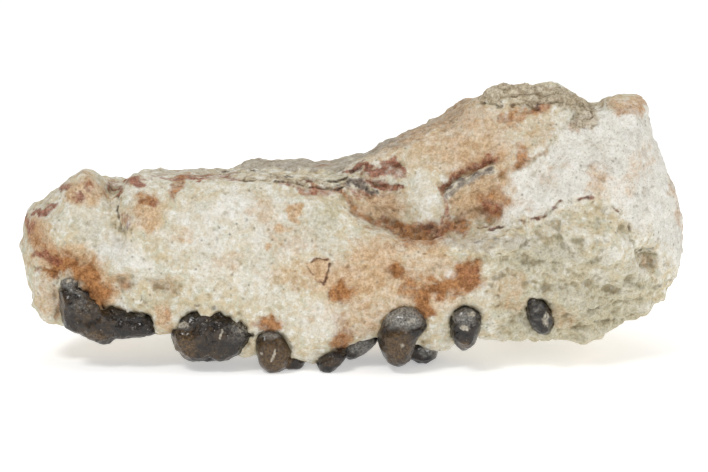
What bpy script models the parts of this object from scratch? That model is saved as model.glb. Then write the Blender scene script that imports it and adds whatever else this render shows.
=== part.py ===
"""Fossil oreodont jaw: one side of an upper jaw, standing on its tooth row and on its rock.

The bone is the near side. The rock fills it from behind and carries on past its rear end, and
seven teeth stand in sockets along the bone's lower edge. X runs along the jaw from the snout to
the rear, Y from the near side to the far side, and Z up. The object stands on z = 0.
Every length below is in millimetres, and MM turns it into metres.
"""

import math

import bmesh
import bpy
import numpy as np
from mathutils import Vector, noise

MM = 0.001

# Driving dimensions
SNOUT_X = -50.2
REAR_X = 47.4
SNOUT_TIP = (-53.0, -4.5, 19.4)
REAR_TIP = (53.2, -3.0, 17.4)
GAP = 0.3
CAP_POWER = 0.62

# How fine the surfaces are
STATION_STEP = 1.25
POINTS_PER_SPAN = 10
CAP_RINGS = 6
CUSP_ANGLES = 48
BLOCK_FACES_KEPT = 0.2
TOOTH_FACES_KEPT = 0.13

# The rails are the lines that the block's skin runs through, each from the snout to the rear:
# knots of x, y, z. They are in order round the section, from the near lower edge up the near
# face, over the top and down the far face.
RAILS = {
    "lip": [(-50.2, -9.5, 8.4), (-48, -10.5, 6.2), (-45, -11.5, 6.6), (-41, -12.5, 7.6),
            (-37, -13.5, 8.0), (-31, -14.5, 5.6), (-24, -15.5, 6.6), (-17.5, -15.3, 2.2),
            (-15, -15.3, 3.4), (-9, -14.5, 1.2), (-5, -14.5, 1.6), (-1, -14.5, 3.8),
            (6, -15, 6.0), (12.5, -14.5, 3.4), (14.5, -14.5, 2.8), (17, -14.5, 5.0),
            (25, -14, 4.6), (31, -13.2, 4.8), (37, -11.8, 3.6), (42.5, -9.2, 5.8),
            (47.4, -7.2, 8.6)],
    "low": [(-50.2, -11, 13), (-45, -13, 13), (-38, -15.4, 14), (-24, -17, 13.5),
            (-8, -17.4, 10.5), (8, -17.6, 11.5), (25, -16.8, 11.5), (36, -15.4, 10.5),
            (42.5, -13.4, 12), (47.4, -10.5, 14)],
    "middle": [(-50.2, -10, 19), (-45, -13, 20), (-38, -14.6, 20), (-24, -17, 20.5),
               (-8, -17.2, 19.5), (8, -17.4, 20.5), (22, -18, 20), (36, -17.5, 19),
               (42.5, -15, 20), (47.4, -12, 20.5)],
    "high": [(-50.2, -8, 22.6), (-45, -11, 25.2), (-38, -13, 25), (-24, -15.4, 25.4),
             (-8, -15.2, 25.6), (5, -13.6, 26.2), (15, -13.2, 27.8), (24, -14.5, 28.6),
             (36, -15.8, 28.6), (43, -13.6, 28.6), (47.4, -10.5, 28)],
    "brow": [(-50.2, -5.5, 24.2), (-46, -7.5, 27.8), (-42.3, -8.5, 29.6), (-38.6, -8.5, 26.6),
             (-35.6, -10, 29.0), (-24, -11.5, 29.4), (-8, -11.5, 29.2), (-1, -9.5, 30.8),
             (7, -8.5, 34.0), (15, -8.5, 36.6), (19, -8, 39.4), (22, -7.5, 41.0),
             (33, -8.5, 41.4), (38, -9.5, 40.2), (44, -9.5, 39.2), (47.4, -7.0, 34.8)],
    "crest": [(-50.2, -1, 23.6), (-46, -1, 26.4), (-42.3, -1.5, 28.6), (-38.6, -1, 26.4),
              (-34.2, 0, 28.8), (-20, 1, 28.6), (-16.5, 1.5, 29.8), (-4, 2, 30.2),
              (3, 1.5, 32.0), (9, 1, 35.6), (15, 0, 37.9), (18, -0.5, 39.4), (23, -1, 41.0),
              (33, 0, 41.8), (37.7, 0, 40.4), (41, 0, 40.6), (45.4, 0, 39.8), (47.4, 0, 35.8)],
    "shoulder": [(-50.2, 4, 21.5), (-42, 6, 25.5), (-24, 11, 25), (-8, 13, 25.5), (7, 13.5, 29.5),
                 (18, 12.5, 35), (33, 12, 36.8), (42, 10, 36), (47.4, 8, 32)],
    "back": [(-50.2, 6, 15.5), (-42, 10, 16), (-24, 16, 14.5), (-8, 19, 14), (8, 21, 15),
             (24, 21.5, 17), (36, 19.5, 18), (43, 15.5, 19), (47.4, 12, 20)],
    "heel": [(-50.2, 3.5, 9.8), (-42, 7.5, 7), (-24, 13.5, 4), (-12, 17, -0.4), (8, 18.5, -1.0),
             (26, 18, -0.8), (34, 15.5, 2.0), (42, 11, 6.4), (47.4, 7.5, 10.5)],
    "sole": [(-50.2, -2, 8.8), (-42, -2, 7), (-24, 3, 5.5), (-14, 8, 0.8), (8, 9.5, 0.2),
             (26, 8.5, 0.6), (34, 5, 2.2), (42, 2, 5.8), (47.4, 1, 9.2)],
    "gum": [(-50.2, -6.5, 8.0), (-42, -7, 7.0), (-24, -8, 6.4), (-8, -8, 4.8), (8, -8, 5.2),
            (26, -7, 5.4), (34, -5, 3.8), (42, -4, 5.2), (47.4, -3.5, 8.2)],
}

# Relief of the near face. A lump is x, z, half width, half height, turn in degrees and rise, and a
# hollow is a lump with a rise below zero.
NEAR_LUMPS = [
    (-47.8, 22.0, 3.0, 3.2, 0, 0.9),
    (-49.0, 10.0, 2.2, 3.0, 0, 0.8),
    (-42.2, 29.2, 3.2, 2.4, 0, 0.8),
    (-43.5, 17.4, 3.4, 2.0, 20, -1.0),
    (-33.0, 24.6, 4.2, 4.6, 0, 1.0),
    (-37.2, 13.6, 2.4, 1.9, 0, -1.2),
    (-30.2, 13.4, 3.4, 1.6, 0, -1.2),
    (-22.0, 18.0, 4.0, 3.0, 0, 0.5),
    (-13.0, 13.5, 4.0, 2.4, 20, -0.6),
    (-10.0, 23.0, 6.0, 4.0, 0, 0.6),
    (-6.0, 13.8, 3.2, 2.6, 0, 0.8),
    (-6.0, 5.5, 5.5, 3.4, 0, 0.9),
    (5.2, 25.0, 4.8, 2.4, -14, -2.4),
    (2.6, 28.6, 3.4, 0.9, 4, -1.6),
    (18.6, 24.4, 5.0, 2.6, 10, -2.6),
    (11.6, 27.2, 2.4, 3.4, 0, 1.1),
    (15.0, 14.8, 1.6, 1.4, 0, 0.9),
    (12.4, 12.6, 5.0, 1.8, 0, -1.0),
    (21.0, 9.4, 2.6, 3.0, 0, 0.7),
    (23.0, 31.5, 6.0, 4.6, 50, 0.8),
    (35.5, 29.5, 5.0, 4.5, 0, 0.9),
    (34.5, 22.6, 5.0, 1.7, 12, 1.2),
    (31.0, 17.4, 5.0, 1.4, 14, -1.2),
    (40.5, 19.8, 2.6, 1.8, -20, 1.0),
    (38.5, 14.6, 3.4, 1.6, -20, -1.3),
    (33.5, 12.0, 2.6, 1.6, 0, 1.0),
    (46.6, 16.4, 2.0, 1.5, 0, -1.6),
    (44.4, 12.2, 2.6, 1.5, 10, 1.0),
    (37.5, 8.4, 3.4, 1.8, 10, 1.2),
    (42.0, 9.4, 2.2, 1.4, 0, -1.1),
    (29.5, 21.0, 2.4, 1.4, 0, -1.0),
    (50.0, 22.0, 1.8, 3.0, 0, -0.7),
]
# A ridge is its points of x and z, half width and rise. A groove has a rise below zero.
NEAR_RIDGES = [
    ([(-38.6, 28.5), (-38.0, 24.6), (-36.8, 20.6)], 1.0, -1.5),
    ([(-1.5, 20.8), (8.0, 19.8), (16.0, 19.8), (25.0, 20.4)], 1.8, 1.5),
    ([(6.5, 22.2), (13.0, 22.0), (19.0, 22.2)], 1.0, -1.6),
    ([(14.6, 26.8), (18.5, 29.0), (22.6, 31.2)], 0.8, 1.9),
    ([(0.2, 28.2), (3.0, 27.0), (8.2, 26.8)], 0.7, 1.6),
    ([(24.8, 20.6), (28.0, 22.2), (32.0, 24.8), (38.5, 26.2)], 0.6, -1.1),
    ([(40.0, 24.6), (43.5, 20.8), (45.6, 18.0)], 0.6, -0.9),
    ([(22.0, 13.6), (29.0, 12.2), (36.5, 10.8)], 1.2, 1.0),
    ([(27.0, 17.2), (33.0, 18.0), (41.0, 16.4)], 0.9, 1.0),
    ([(33.0, 6.0), (39.0, 6.6), (44.0, 9.0)], 0.9, -1.1),
    ([(-50.5, 17.4), (-47.0, 16.4), (-44.5, 17.2)], 0.7, -0.9),
    ([(-46.8, 15.2), (-44.0, 15.6), (-40.5, 12.8), (-38.8, 11.0)], 0.9, 0.7),
    ([(-22.0, 28.6), (-12.0, 28.0), (-3.0, 27.2)], 0.6, -0.9),
    ([(24.8, 29.0), (28.5, 33.0), (31.5, 37.5)], 0.8, 0.8),
]
# Lumps of the top, as x, y, half length, half width, turn and rise.
TOP_LUMPS = [
    (-42.0, -6.5, 2.8, 3.4, 0, 1.0),
    (-38.0, -6.0, 1.8, 6.0, 0, -1.2),
    (-34.2, -8.0, 2.6, 2.4, 0, 0.7),
    (-14.5, 2.0, 3.2, 4.0, 0, 0.7),
    (17.8, 2.5, 2.2, 3.4, 20, 1.3),
    (23.0, -5.0, 3.6, 3.2, 0, 1.3),
    (30.5, -4.5, 3.8, 3.6, 0, 1.2),
    (37.6, -3.0, 1.6, 5.0, 0, -1.2),
    (44.6, -2.5, 3.6, 3.6, 0, 1.4),
    (-28.0, 6.0, 5.0, 3.6, 0, -1.0),
    (2.0, 8.0, 6.0, 4.0, 25, -1.2),
    (27.0, 7.0, 6.0, 4.0, 0, 1.0),
]
# Lumps and ledges of the far face, as x, z, half width, half height, turn and rise.
FAR_LUMPS = [
    (-42.0, 21.0, 4.0, 3.4, 0, 0.9),
    (-38.0, 13.0, 4.4, 3.0, 10, -1.2),
    (-30.0, 20.0, 5.0, 3.0, -12, 1.1),
    (-25.0, 11.0, 4.5, 4.0, 0, -1.3),
    (-16.0, 19.0, 6.0, 3.4, 15, 1.5),
    (-9.0, 9.0, 6.0, 3.0, 0, 1.2),
    (-4.0, 25.0, 7.0, 2.4, 8, -1.4),
    (3.0, 17.0, 4.5, 4.0, 0, -1.5),
    (11.0, 10.0, 6.0, 3.6, -20, 1.6),
    (15.0, 29.0, 6.0, 3.6, 24, 1.4),
    (19.0, 20.0, 7.0, 2.0, -10, -1.3),
    (25.0, 12.0, 3.6, 4.5, 10, -1.5),
    (31.0, 24.0, 6.0, 4.0, 0, 1.6),
    (36.0, 33.0, 4.0, 3.0, 0, -1.2),
    (38.0, 14.0, 5.0, 2.6, 20, 1.2),
    (44.0, 23.0, 3.0, 4.5, 0, -1.1),
]
# Roughness of the whole block: size of the features and how far they stand.
ROUGHNESS = [(11.0, 0.8), (4.6, 0.5)]
# How much a face has to look forward, back or up before that side's relief starts, and is full.
SIDE_FACING = (0.15, 0.6)
TOP_FACING = (0.2, 0.7)

# The wall between bone and rock: knots of x and z where it comes out of the near face, then its
# depth behind the bone at two heights, and the sheet that is bent along it.
SEAM_ON_FACE = [(25.4, -8), (34.6, 2), (34.0, 8), (31.6, 13.5), (28.0, 19.0), (24.6, 22.0),
                (24.4, 30.0), (28.2, 33.2), (31.4, 36.6), (34.2, 40.0), (37.5, 50)]
SEAM_TURN = 5.0
ROCK_STEP = 0.9
ROCK_STEP_LOWEST = 21.0
ROCK_STEP_FADE = (3.0, 9.0)
WALL_LEVELS = (6.0, 32.0)
WALL_Y = (-1.0, -6.8)
WALL_WAVE = 0.9
WALL_WAVE_SIZE = 9.0
WALL_FRONT_Y = -26.0
WALL_BACK_Y = 40.0
WALL_LENGTH = 136.0
WALL_HEIGHT = 62.0
WALL_MIDDLE_Z = 22.0
WALL_COLUMNS = 42
WALL_ROWS = 20

# The ground that the flat spots are cut at
GROUND_WIDTH = 200.0
GROUND_DEPTH = 20.0

# Teeth, counted from the snout. Each cusp is a pebble: the outline that shows from the near side
# as x and z, then the y of its near and far ends. A tooth with two cusps is their union.
TEETH = {
    "tooth_1": [
        ([(-46.4, 12.8), (-45.5, 15.4), (-44.4, 14.8), (-43.6, 13.5), (-41.7, 12.2),
          (-40.3, 11.4), (-39.4, 9.8), (-37.8, 8.0), (-37.4, 5.4), (-37.8, 4.4), (-39.1, 3.6),
          (-40.5, 4.2), (-43.1, 5.3), (-45.7, 6.6), (-46.3, 9.0)], -16.4, -8.0),
        ([(-40.5, 8.8), (-39.0, 9.9), (-37.7, 9.9), (-34.1, 8.8), (-32.4, 9.0), (-31.4, 8.0),
          (-31.2, 5.4), (-34.2, 5.3), (-36.2, 5.0), (-38.8, 4.6)], -16.2, -9.0),
    ],
    "tooth_2": [
        ([(-28.7, 7.2), (-27.6, 9.0), (-26.0, 9.9), (-20.9, 10.0), (-19.4, 8.9), (-17.3, 8.3),
          (-16.0, 7.2), (-15.7, 5.2), (-17.0, 3.9), (-18.2, 2.4), (-20.7, 1.3), (-24.3, 1.6),
          (-26.2, 1.4), (-27.8, 2.8), (-28.7, 4.8)], -18.3, -7.0),
    ],
    "tooth_3": [
        ([(-15.5, 5.8), (-14.6, 6.8), (-13.2, 7.0), (-11.2, 6.0), (-9.7, 3.4), (-10.4, 1.0),
          (-11.6, -0.3), (-13.5, -0.3), (-14.9, 1.0), (-15.5, 3.6)], -18.6, -8.5),
        ([(-12.0, 2.6), (-9.0, 2.8), (-7.6, 1.4), (-8.2, 0.0), (-10.6, -0.2), (-12.0, 1.0)],
         -16.0, -7.5),
    ],
    "tooth_4": [
        ([(-6.0, 1.3), (-4.8, 2.8), (-3.2, 3.6), (-1.8, 3.6), (-1.0, 2.6), (-2.2, 1.0),
          (-3.8, -0.3), (-5.4, -0.1)], -17.6, -10.0),
        ([(-2.8, 1.8), (-0.6, 0.6), (1.6, 1.6), (3.0, 2.8), (4.2, 4.2), (3.4, 5.4), (0.2, 5.0),
          (-2.4, 3.8)], -13.0, -5.0),
    ],
    "tooth_5": [
        ([(3.8, 5.9), (4.4, 8.0), (5.8, 10.0), (8.5, 10.8), (10.2, 9.8), (11.8, 7.5),
          (10.0, 5.9), (9.3, 4.0), (8.7, 1.6), (7.0, 0.5), (5.2, 1.4), (4.1, 3.4)],
         -19.4, -8.0),
        ([(6.4, 3.4), (8.4, 4.4), (11.4, 4.2), (13.8, 3.0), (13.0, 1.0), (11.6, 0.1), (10.2, 0.1),
          (8.0, 1.4)], -13.5, -4.5),
    ],
    "tooth_6": [
        ([(14.8, 7.2), (14.9, 8.6), (15.8, 10.1), (17.4, 10.7), (19.0, 10.4), (20.0, 9.3),
          (19.9, 7.7), (19.2, 5.6), (18.6, 4.0), (17.5, 3.2), (16.4, 3.8), (15.3, 5.6)],
         -18.8, -8.5),
    ],
    "tooth_7": [
        ([(27.0, 13.8), (27.9, 13.3), (29.8, 11.8), (30.9, 10.1), (31.2, 7.7), (30.8, 6.0),
          (29.5, 5.8), (28.1, 6.9), (27.1, 8.5), (26.8, 10.2)], -17.9, -8.5),
    ],
}
CUSP_SQUARENESS = 3.0
CUSP_SMOOTHING = 0.35
CUSP_SMOOTHING_ANGLE = 0.16

FINISHES = {
    "bone": ((0.62, 0.50, 0.38), 0.75),
    "rock": ((0.68, 0.63, 0.54), 0.9),
    "enamel": ((0.06, 0.045, 0.035), 0.3),
}


def clear_scene():
    for obj in list(bpy.data.objects):
        bpy.data.objects.remove(obj, do_unlink=True)


def new_collections(*names):
    made = [bpy.data.collections.new(name) for name in names]
    for collection in made:
        bpy.context.scene.collection.children.link(collection)
    return made


def finish(name):
    """The named material, made once."""
    made = bpy.data.materials.get(name)
    if made is None:
        colour, roughness = FINISHES[name]
        made = bpy.data.materials.new(name)
        made.use_nodes = True
        shader = made.node_tree.nodes["Principled BSDF"]
        shader.inputs["Base Color"].default_value = (*colour, 1.0)
        shader.inputs["Roughness"].default_value = roughness
        shader.inputs["Metallic"].default_value = 0.0
    return made


def object_from(shape, name, collection, material=None):
    """Writes a bmesh in millimetres as an object in metres."""
    bmesh.ops.scale(shape, vec=(MM, MM, MM), verts=shape.verts)
    bmesh.ops.recalc_face_normals(shape, faces=shape.faces)
    mesh = bpy.data.meshes.new(name)
    shape.to_mesh(mesh)
    shape.free()
    obj = bpy.data.objects.new(name, mesh)
    collection.objects.link(obj)
    if material:
        mesh.materials.append(finish(material))
    return obj


def helper(obj):
    """Marks an object as a cutter, which isn't a part."""
    obj.hide_render = True
    obj.display_type = "WIRE"
    return obj


def rail_point(rail, x):
    knots = np.array(RAILS[rail])
    return np.array([np.interp(x, knots[:, 0], knots[:, axis]) for axis in (1, 2)])


def section(x):
    """The closed curve round the block at x, as rows of x, y, z, smooth through every rail."""
    corners = np.array([rail_point(rail, x) for rail in RAILS])
    before, after = np.roll(corners, 1, axis=0), np.roll(corners, -1, axis=0)
    after_next = np.roll(corners, -2, axis=0)
    rows = []
    for i in range(len(corners)):
        for t in np.arange(POINTS_PER_SPAN) / POINTS_PER_SPAN:
            rows.append(0.5 * (
                2 * corners[i]
                + (after[i] - before[i]) * t
                + (2 * before[i] - 5 * corners[i] + 4 * after[i] - after_next[i]) * t ** 2
                + (3 * corners[i] - before[i] - 3 * after[i] + after_next[i]) * t ** 3
            ))
    return np.column_stack([np.full(len(rows), x), np.array(rows)])


def cap_rings(ring, tip):
    """Rings that close an end of the block as a blunt dome towards its tip."""
    centre, tip = ring.mean(axis=0), np.array(tip)
    rings = []
    for share in np.sin(np.arange(1, CAP_RINGS) / CAP_RINGS * math.pi / 2):
        rings.append(centre + (tip - centre) * share + (ring - centre) * (1 - share) ** CAP_POWER)
    return rings


def loft(rings, tips):
    """A closed skin over the rings, from the first tip to the last."""
    shape = bmesh.new()
    rows = [[shape.verts.new(point) for point in ring] for ring in rings]
    count = len(rows[0])
    for near, far in zip(rows, rows[1:]):
        for i in range(count):
            j = (i + 1) % count
            shape.faces.new((near[i], near[j], far[j], far[i]))
    for tip, row in zip(tips, (rows[0], rows[-1])):
        apex = shape.verts.new(tip)
        for i in range(count):
            shape.faces.new((row[i], row[(i + 1) % count], apex))
    bmesh.ops.recalc_face_normals(shape, faces=shape.faces)
    return shape


def smooth_step(low, high, value):
    share = min(max((value - low) / (high - low), 0.0), 1.0)
    return share * share * (3 - 2 * share)


def lump_height(lumps, a, b):
    total = 0.0
    for centre_a, centre_b, half_a, half_b, turn, rise in lumps:
        angle = math.radians(turn)
        along = (a - centre_a) * math.cos(angle) + (b - centre_b) * math.sin(angle)
        across = (b - centre_b) * math.cos(angle) - (a - centre_a) * math.sin(angle)
        reach = (along / half_a) ** 2 + (across / half_b) ** 2
        if reach < 9:
            total += rise * math.exp(-reach)
    return total


def distance_to_line(points, a, b):
    nearest = math.inf
    for (a0, b0), (a1, b1) in zip(points, points[1:]):
        run = (a1 - a0) ** 2 + (b1 - b0) ** 2
        share = min(max(((a - a0) * (a1 - a0) + (b - b0) * (b1 - b0)) / run, 0.0), 1.0)
        nearest = min(nearest, math.hypot(a - a0 - share * (a1 - a0), b - b0 - share * (b1 - b0)))
    return nearest


def ridge_height(ridges, a, b):
    return sum(
        rise * math.exp(-(distance_to_line(points, a, b) / half_width) ** 2)
        for points, half_width, rise in ridges
    )


def seam_x(z):
    """Where the bone ends on the near face, at height z."""
    knots = np.array(SEAM_ON_FACE)
    return float(np.interp(z, knots[:, 1], knots[:, 0]))


def rock_step(x, z):
    """The rock stands a little behind the bone's edge along the upper part of the seam."""
    past = x - seam_x(z)
    near_seam = smooth_step(-0.6, 0.6, past) * (1 - smooth_step(*ROCK_STEP_FADE, past))
    return -ROCK_STEP * near_seam * smooth_step(ROCK_STEP_LOWEST, ROCK_STEP_LOWEST + 3, z)


def relief(point, normal):
    """How far the skin stands out at this point, in millimetres."""
    x, y, z = point
    near = smooth_step(*SIDE_FACING, -normal.y)
    far = smooth_step(*SIDE_FACING, normal.y)
    top = smooth_step(*TOP_FACING, normal.z)
    rise = near * (lump_height(NEAR_LUMPS, x, z) + ridge_height(NEAR_RIDGES, x, z))
    rise += near * rock_step(x, z)
    rise += top * lump_height(TOP_LUMPS, x, y)
    rise += far * lump_height(FAR_LUMPS, x, z)
    for size, height in ROUGHNESS:
        rise += height * noise.noise(Vector(point) / size)
    return rise


def block_shape():
    """Bone and rock together: the loft through the rails, with its relief."""
    count = round((REAR_X - SNOUT_X) / STATION_STEP)
    body = [section(x) for x in np.linspace(SNOUT_X, REAR_X, count + 1)]
    snout = cap_rings(body[0], SNOUT_TIP)
    rear = cap_rings(body[-1], REAR_TIP)
    shape = loft(snout[::-1] + body + rear, (SNOUT_TIP, REAR_TIP))
    shape.normal_update()
    moved = [v.co + v.normal * relief(v.co, v.normal) for v in shape.verts]
    for vert, place in zip(shape.verts, moved):
        vert.co = place
    return shape


def wall_y(x, z):
    """The y of the wall between bone and rock: upright behind the bone, and turned out through
    the near face past the bone's rear end."""
    behind = WALL_Y[0] + (WALL_Y[1] - WALL_Y[0]) * smooth_step(*WALL_LEVELS, z)
    behind += WALL_WAVE * noise.noise(Vector((x, 0, z)) / WALL_WAVE_SIZE)
    turned = smooth_step(-SEAM_TURN, SEAM_TURN, x - seam_x(z))
    return behind + (WALL_FRONT_Y - behind) * turned


def rock_region(name, grow):
    """A closed solid of all that lies behind the wall, grown forward by the given distance."""
    shape = bmesh.new()
    bmesh.ops.create_grid(shape, x_segments=WALL_COLUMNS, y_segments=WALL_ROWS, size=0.5)
    for vert in shape.verts:
        x, z = vert.co.x * WALL_LENGTH, WALL_MIDDLE_Z + vert.co.y * WALL_HEIGHT
        vert.co = (x, wall_y(x, z), z)
    bmesh.ops.triangulate(shape, faces=shape.faces)
    shape.normal_update()
    for vert in shape.verts:
        forward = vert.normal if vert.normal.y < 0 else -vert.normal
        vert.co += forward * grow
    made = bmesh.ops.extrude_face_region(shape, geom=list(shape.faces))
    for part in made["geom"]:
        if isinstance(part, bmesh.types.BMVert):
            part.co.y = WALL_BACK_Y
    return helper(object_from(shape, name, CUTTERS))


def outline_reach(outline, centre, angle):
    """How far the outline lies from its centre in one direction."""
    ray = (math.cos(angle), math.sin(angle))
    reach = 0.0
    for (x0, z0), (x1, z1) in zip(outline, outline[1:] + outline[:1]):
        ax, az, bx, bz = x0 - centre[0], z0 - centre[1], x1 - x0, z1 - z0
        cross = bx * ray[1] - bz * ray[0]
        if abs(cross) < 1e-9:
            continue
        along = (bx * az - bz * ax) / cross
        share = (ray[0] * az - ray[1] * ax) / cross
        if along > 0 and -1e-9 <= share <= 1 + 1e-9:
            reach = max(reach, along)
    return reach


def cusp_shape(outline, near_y, far_y, grow):
    """A pebble with this outline from the near side, grown outwards by the given distance."""
    centre = np.mean(outline, axis=0)
    angles = np.linspace(-math.pi, math.pi, CUSP_ANGLES + 1)
    reach = np.array([outline_reach(outline, centre, angle) for angle in angles])
    sides = [np.interp(angles + turn, angles, reach, period=2 * math.pi)
             for turn in (-CUSP_SMOOTHING_ANGLE, CUSP_SMOOTHING_ANGLE)]
    reach += CUSP_SMOOTHING * (np.mean(sides, axis=0) - reach) + grow
    shape = bmesh.new()
    bmesh.ops.create_icosphere(shape, subdivisions=4, radius=1.0)
    for vert in shape.verts:
        x, y, z = vert.co
        width = (1 - abs(y) ** CUSP_SQUARENESS) ** (1 / CUSP_SQUARENESS)
        angle = math.atan2(z, x)
        radius = float(np.interp(angle, angles, reach, period=2 * math.pi)) * width
        middle, half = (near_y + far_y) / 2, (far_y - near_y) / 2 + grow
        vert.co = (centre[0] + radius * math.cos(angle), middle + half * y,
                   centre[1] + radius * math.sin(angle))
    return shape


def tooth(name, cusps, grow, collection, material=None):
    """One tooth, or with a grow the cutter for its socket."""
    whole = object_from(cusp_shape(*cusps[0], grow), name, collection, material)
    for number, cusp in enumerate(cusps[1:], start=1):
        inner = helper(object_from(cusp_shape(*cusp, grow), f"{name}_inner_{number}", CUTTERS))
        cut(whole, "UNION", inner, "inner cusp")
    thin_out(whole, TOOTH_FACES_KEPT)
    return whole


def thin_out(obj, share):
    fewer = obj.modifiers.new("fewer faces", "DECIMATE")
    fewer.ratio = share


def cut(obj, operation, cutter, label):
    change = obj.modifiers.new(label, "BOOLEAN")
    change.operation = operation
    change.object = cutter


def stand_on_origin(parts):
    """Moves everything so that the parts' box stands centred on the origin."""
    depsgraph = bpy.context.evaluated_depsgraph_get()
    corners = []
    for obj in parts:
        evaluated = obj.evaluated_get(depsgraph)
        corners += [evaluated.matrix_world @ Vector(corner) for corner in evaluated.bound_box]
    low = Vector([min(corner[axis] for corner in corners) for axis in range(3)])
    high = Vector([max(corner[axis] for corner in corners) for axis in range(3)])
    shift = Vector((-(low.x + high.x) / 2, -(low.y + high.y) / 2, -low.z))
    for obj in bpy.context.scene.objects:
        obj.location += shift


def ground():
    """A block under the object, with its top at z = 0."""
    shape = bmesh.new()
    bmesh.ops.create_cube(shape, size=1.0)
    for vert in shape.verts:
        x, y, z = vert.co
        vert.co = (x * GROUND_WIDTH, y * GROUND_WIDTH, (z - 0.5) * GROUND_DEPTH)
    return helper(object_from(shape, "ground", CUTTERS))


def bone_and_rock(below):
    """The block, parted along the wall into the bone and the rock."""
    bone = object_from(block_shape(), "jaw_bone", JAW, "bone")
    rock = bpy.data.objects.new("rock_matrix", bone.data.copy())
    rock.data.materials[0] = finish("rock")
    JAW.objects.link(rock)
    for obj in (bone, rock):
        thin_out(obj, BLOCK_FACES_KEPT)
        cut(obj, "DIFFERENCE", below, "flat spot")
    cut(rock, "INTERSECT", rock_region("rock_region", 0.0), "rock side of the wall")
    cut(bone, "DIFFERENCE", rock_region("rock_region_with_gap", GAP), "bone side of the wall")
    return bone


def main():
    below = ground()
    bone = bone_and_rock(below)
    for name, cusps in TEETH.items():
        made = tooth(name, cusps, 0.0, JAW, "enamel")
        cut(made, "DIFFERENCE", below, "worn tip")
        socket = helper(tooth(f"{name}_socket", cusps, GAP, CUTTERS))
        cut(bone, "DIFFERENCE", socket, f"socket of {name}")
    stand_on_origin(JAW.objects)


clear_scene()
JAW, CUTTERS = new_collections("oreodont_jaw", "cutters")
main()
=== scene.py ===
"""Looks of the fossil oreodont jaw: weathered bone in its rock, with seven dark glossy teeth.

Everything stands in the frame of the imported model: X runs from the snout to the rear, Y from the
near side, where the teeth show, to the far side, and Z up. Lengths are in millimetres until they
reach Blender, which takes metres. Marks on the near side are placed by the pixel at which the
photograph shows them, and they lie on the surface that is there.
"""

import itertools
import logging
import math
from collections.abc import Iterator
from dataclasses import dataclass
from enum import Enum

import bmesh
import bpy
import numpy as np
from mathutils import Matrix, Vector, noise
from mathutils.bvhtree import BVHTree
from mathutils.kdtree import KDTree


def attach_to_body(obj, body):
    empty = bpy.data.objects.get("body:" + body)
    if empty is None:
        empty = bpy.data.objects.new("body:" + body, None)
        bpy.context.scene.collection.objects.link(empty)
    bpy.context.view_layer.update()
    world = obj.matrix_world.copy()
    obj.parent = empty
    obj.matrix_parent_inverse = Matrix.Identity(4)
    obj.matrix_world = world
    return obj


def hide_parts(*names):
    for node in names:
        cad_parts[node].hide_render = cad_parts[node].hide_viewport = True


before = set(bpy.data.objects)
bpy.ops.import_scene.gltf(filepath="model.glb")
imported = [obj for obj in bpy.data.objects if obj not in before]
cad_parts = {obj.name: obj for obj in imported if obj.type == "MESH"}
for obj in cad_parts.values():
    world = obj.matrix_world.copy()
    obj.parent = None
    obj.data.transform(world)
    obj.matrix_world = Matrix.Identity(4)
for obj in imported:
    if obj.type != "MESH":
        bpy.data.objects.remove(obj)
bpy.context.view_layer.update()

LOG = logging.getLogger("fossil_jaw")
MM = 0.001
BODY = "root"


# ---------------------------------------------------------------- the photograph's frame


@dataclass(frozen=True)
class PhotoFrame:
    """The photograph's frame, and the camera that sees the jaw as it does."""

    width: int = 708
    height: int = 472
    lens: float = 135.0
    sensor: float = 36.0
    distance: float = 430.5
    elevation: float = 12.0
    aim: tuple[float, float, float] = (0.15, -1.43, 18.4)

    @property
    def focal(self) -> float:
        """The focal length in pixels."""
        return self.lens / self.sensor * self.width

    @property
    def back(self) -> np.ndarray:
        """The direction from the jaw to the camera."""
        tilt = math.radians(self.elevation)
        return np.array([0.0, -math.cos(tilt), math.sin(tilt)])

    @property
    def up(self) -> np.ndarray:
        """The picture's upward direction."""
        tilt = math.radians(self.elevation)
        return np.array([0.0, math.sin(tilt), math.cos(tilt)])

    @property
    def eye(self) -> np.ndarray:
        """Where the camera stands."""
        return np.array(self.aim) + self.back * self.distance

    def pixels(self, points: np.ndarray) -> np.ndarray:
        """Finds the pixel at which each point shows.

        Args:
            points: rows of x, y, z in millimetres.

        Returns:
            Rows of u, to the right, and v, downwards.
        """
        seen = points - self.eye
        depth = -seen @ self.back
        u = self.width / 2 + self.focal * seen[:, 0] / depth
        v = self.height / 2 - self.focal * (seen @ self.up) / depth
        return np.column_stack([u, v])

    def place_at(self, skin: BVHTree, u: float, v: float) -> Vector:
        """Finds the place on a skin, in metres, that shows at a pixel.

        Args:
            skin: the search tree of the skin, in metres.
            u: the pixel's column.
            v: the pixel's row.

        Returns:
            The place.
        """
        right = (u - self.width / 2) / self.focal
        rise = (self.height / 2 - v) / self.focal
        ray = Vector(np.array([right, 0.0, 0.0]) + rise * self.up - self.back)
        return skin.ray_cast(Vector(self.eye * MM), ray.normalized())[0]

    def facing(self, normals: np.ndarray) -> np.ndarray:
        """How well each of these directions faces the camera, from 0 to 1."""
        return ease((normals @ self.back + 0.05) / 0.3)


PHOTO = PhotoFrame()


# ---------------------------------------------------------------- marks, placed by pixel


def ease(value: np.ndarray) -> np.ndarray:
    """A smooth step from 0 to 1 as the value goes from 0 to 1."""
    share = np.clip(value, 0.0, 1.0)
    return share * share * (3.0 - 2.0 * share)


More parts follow.
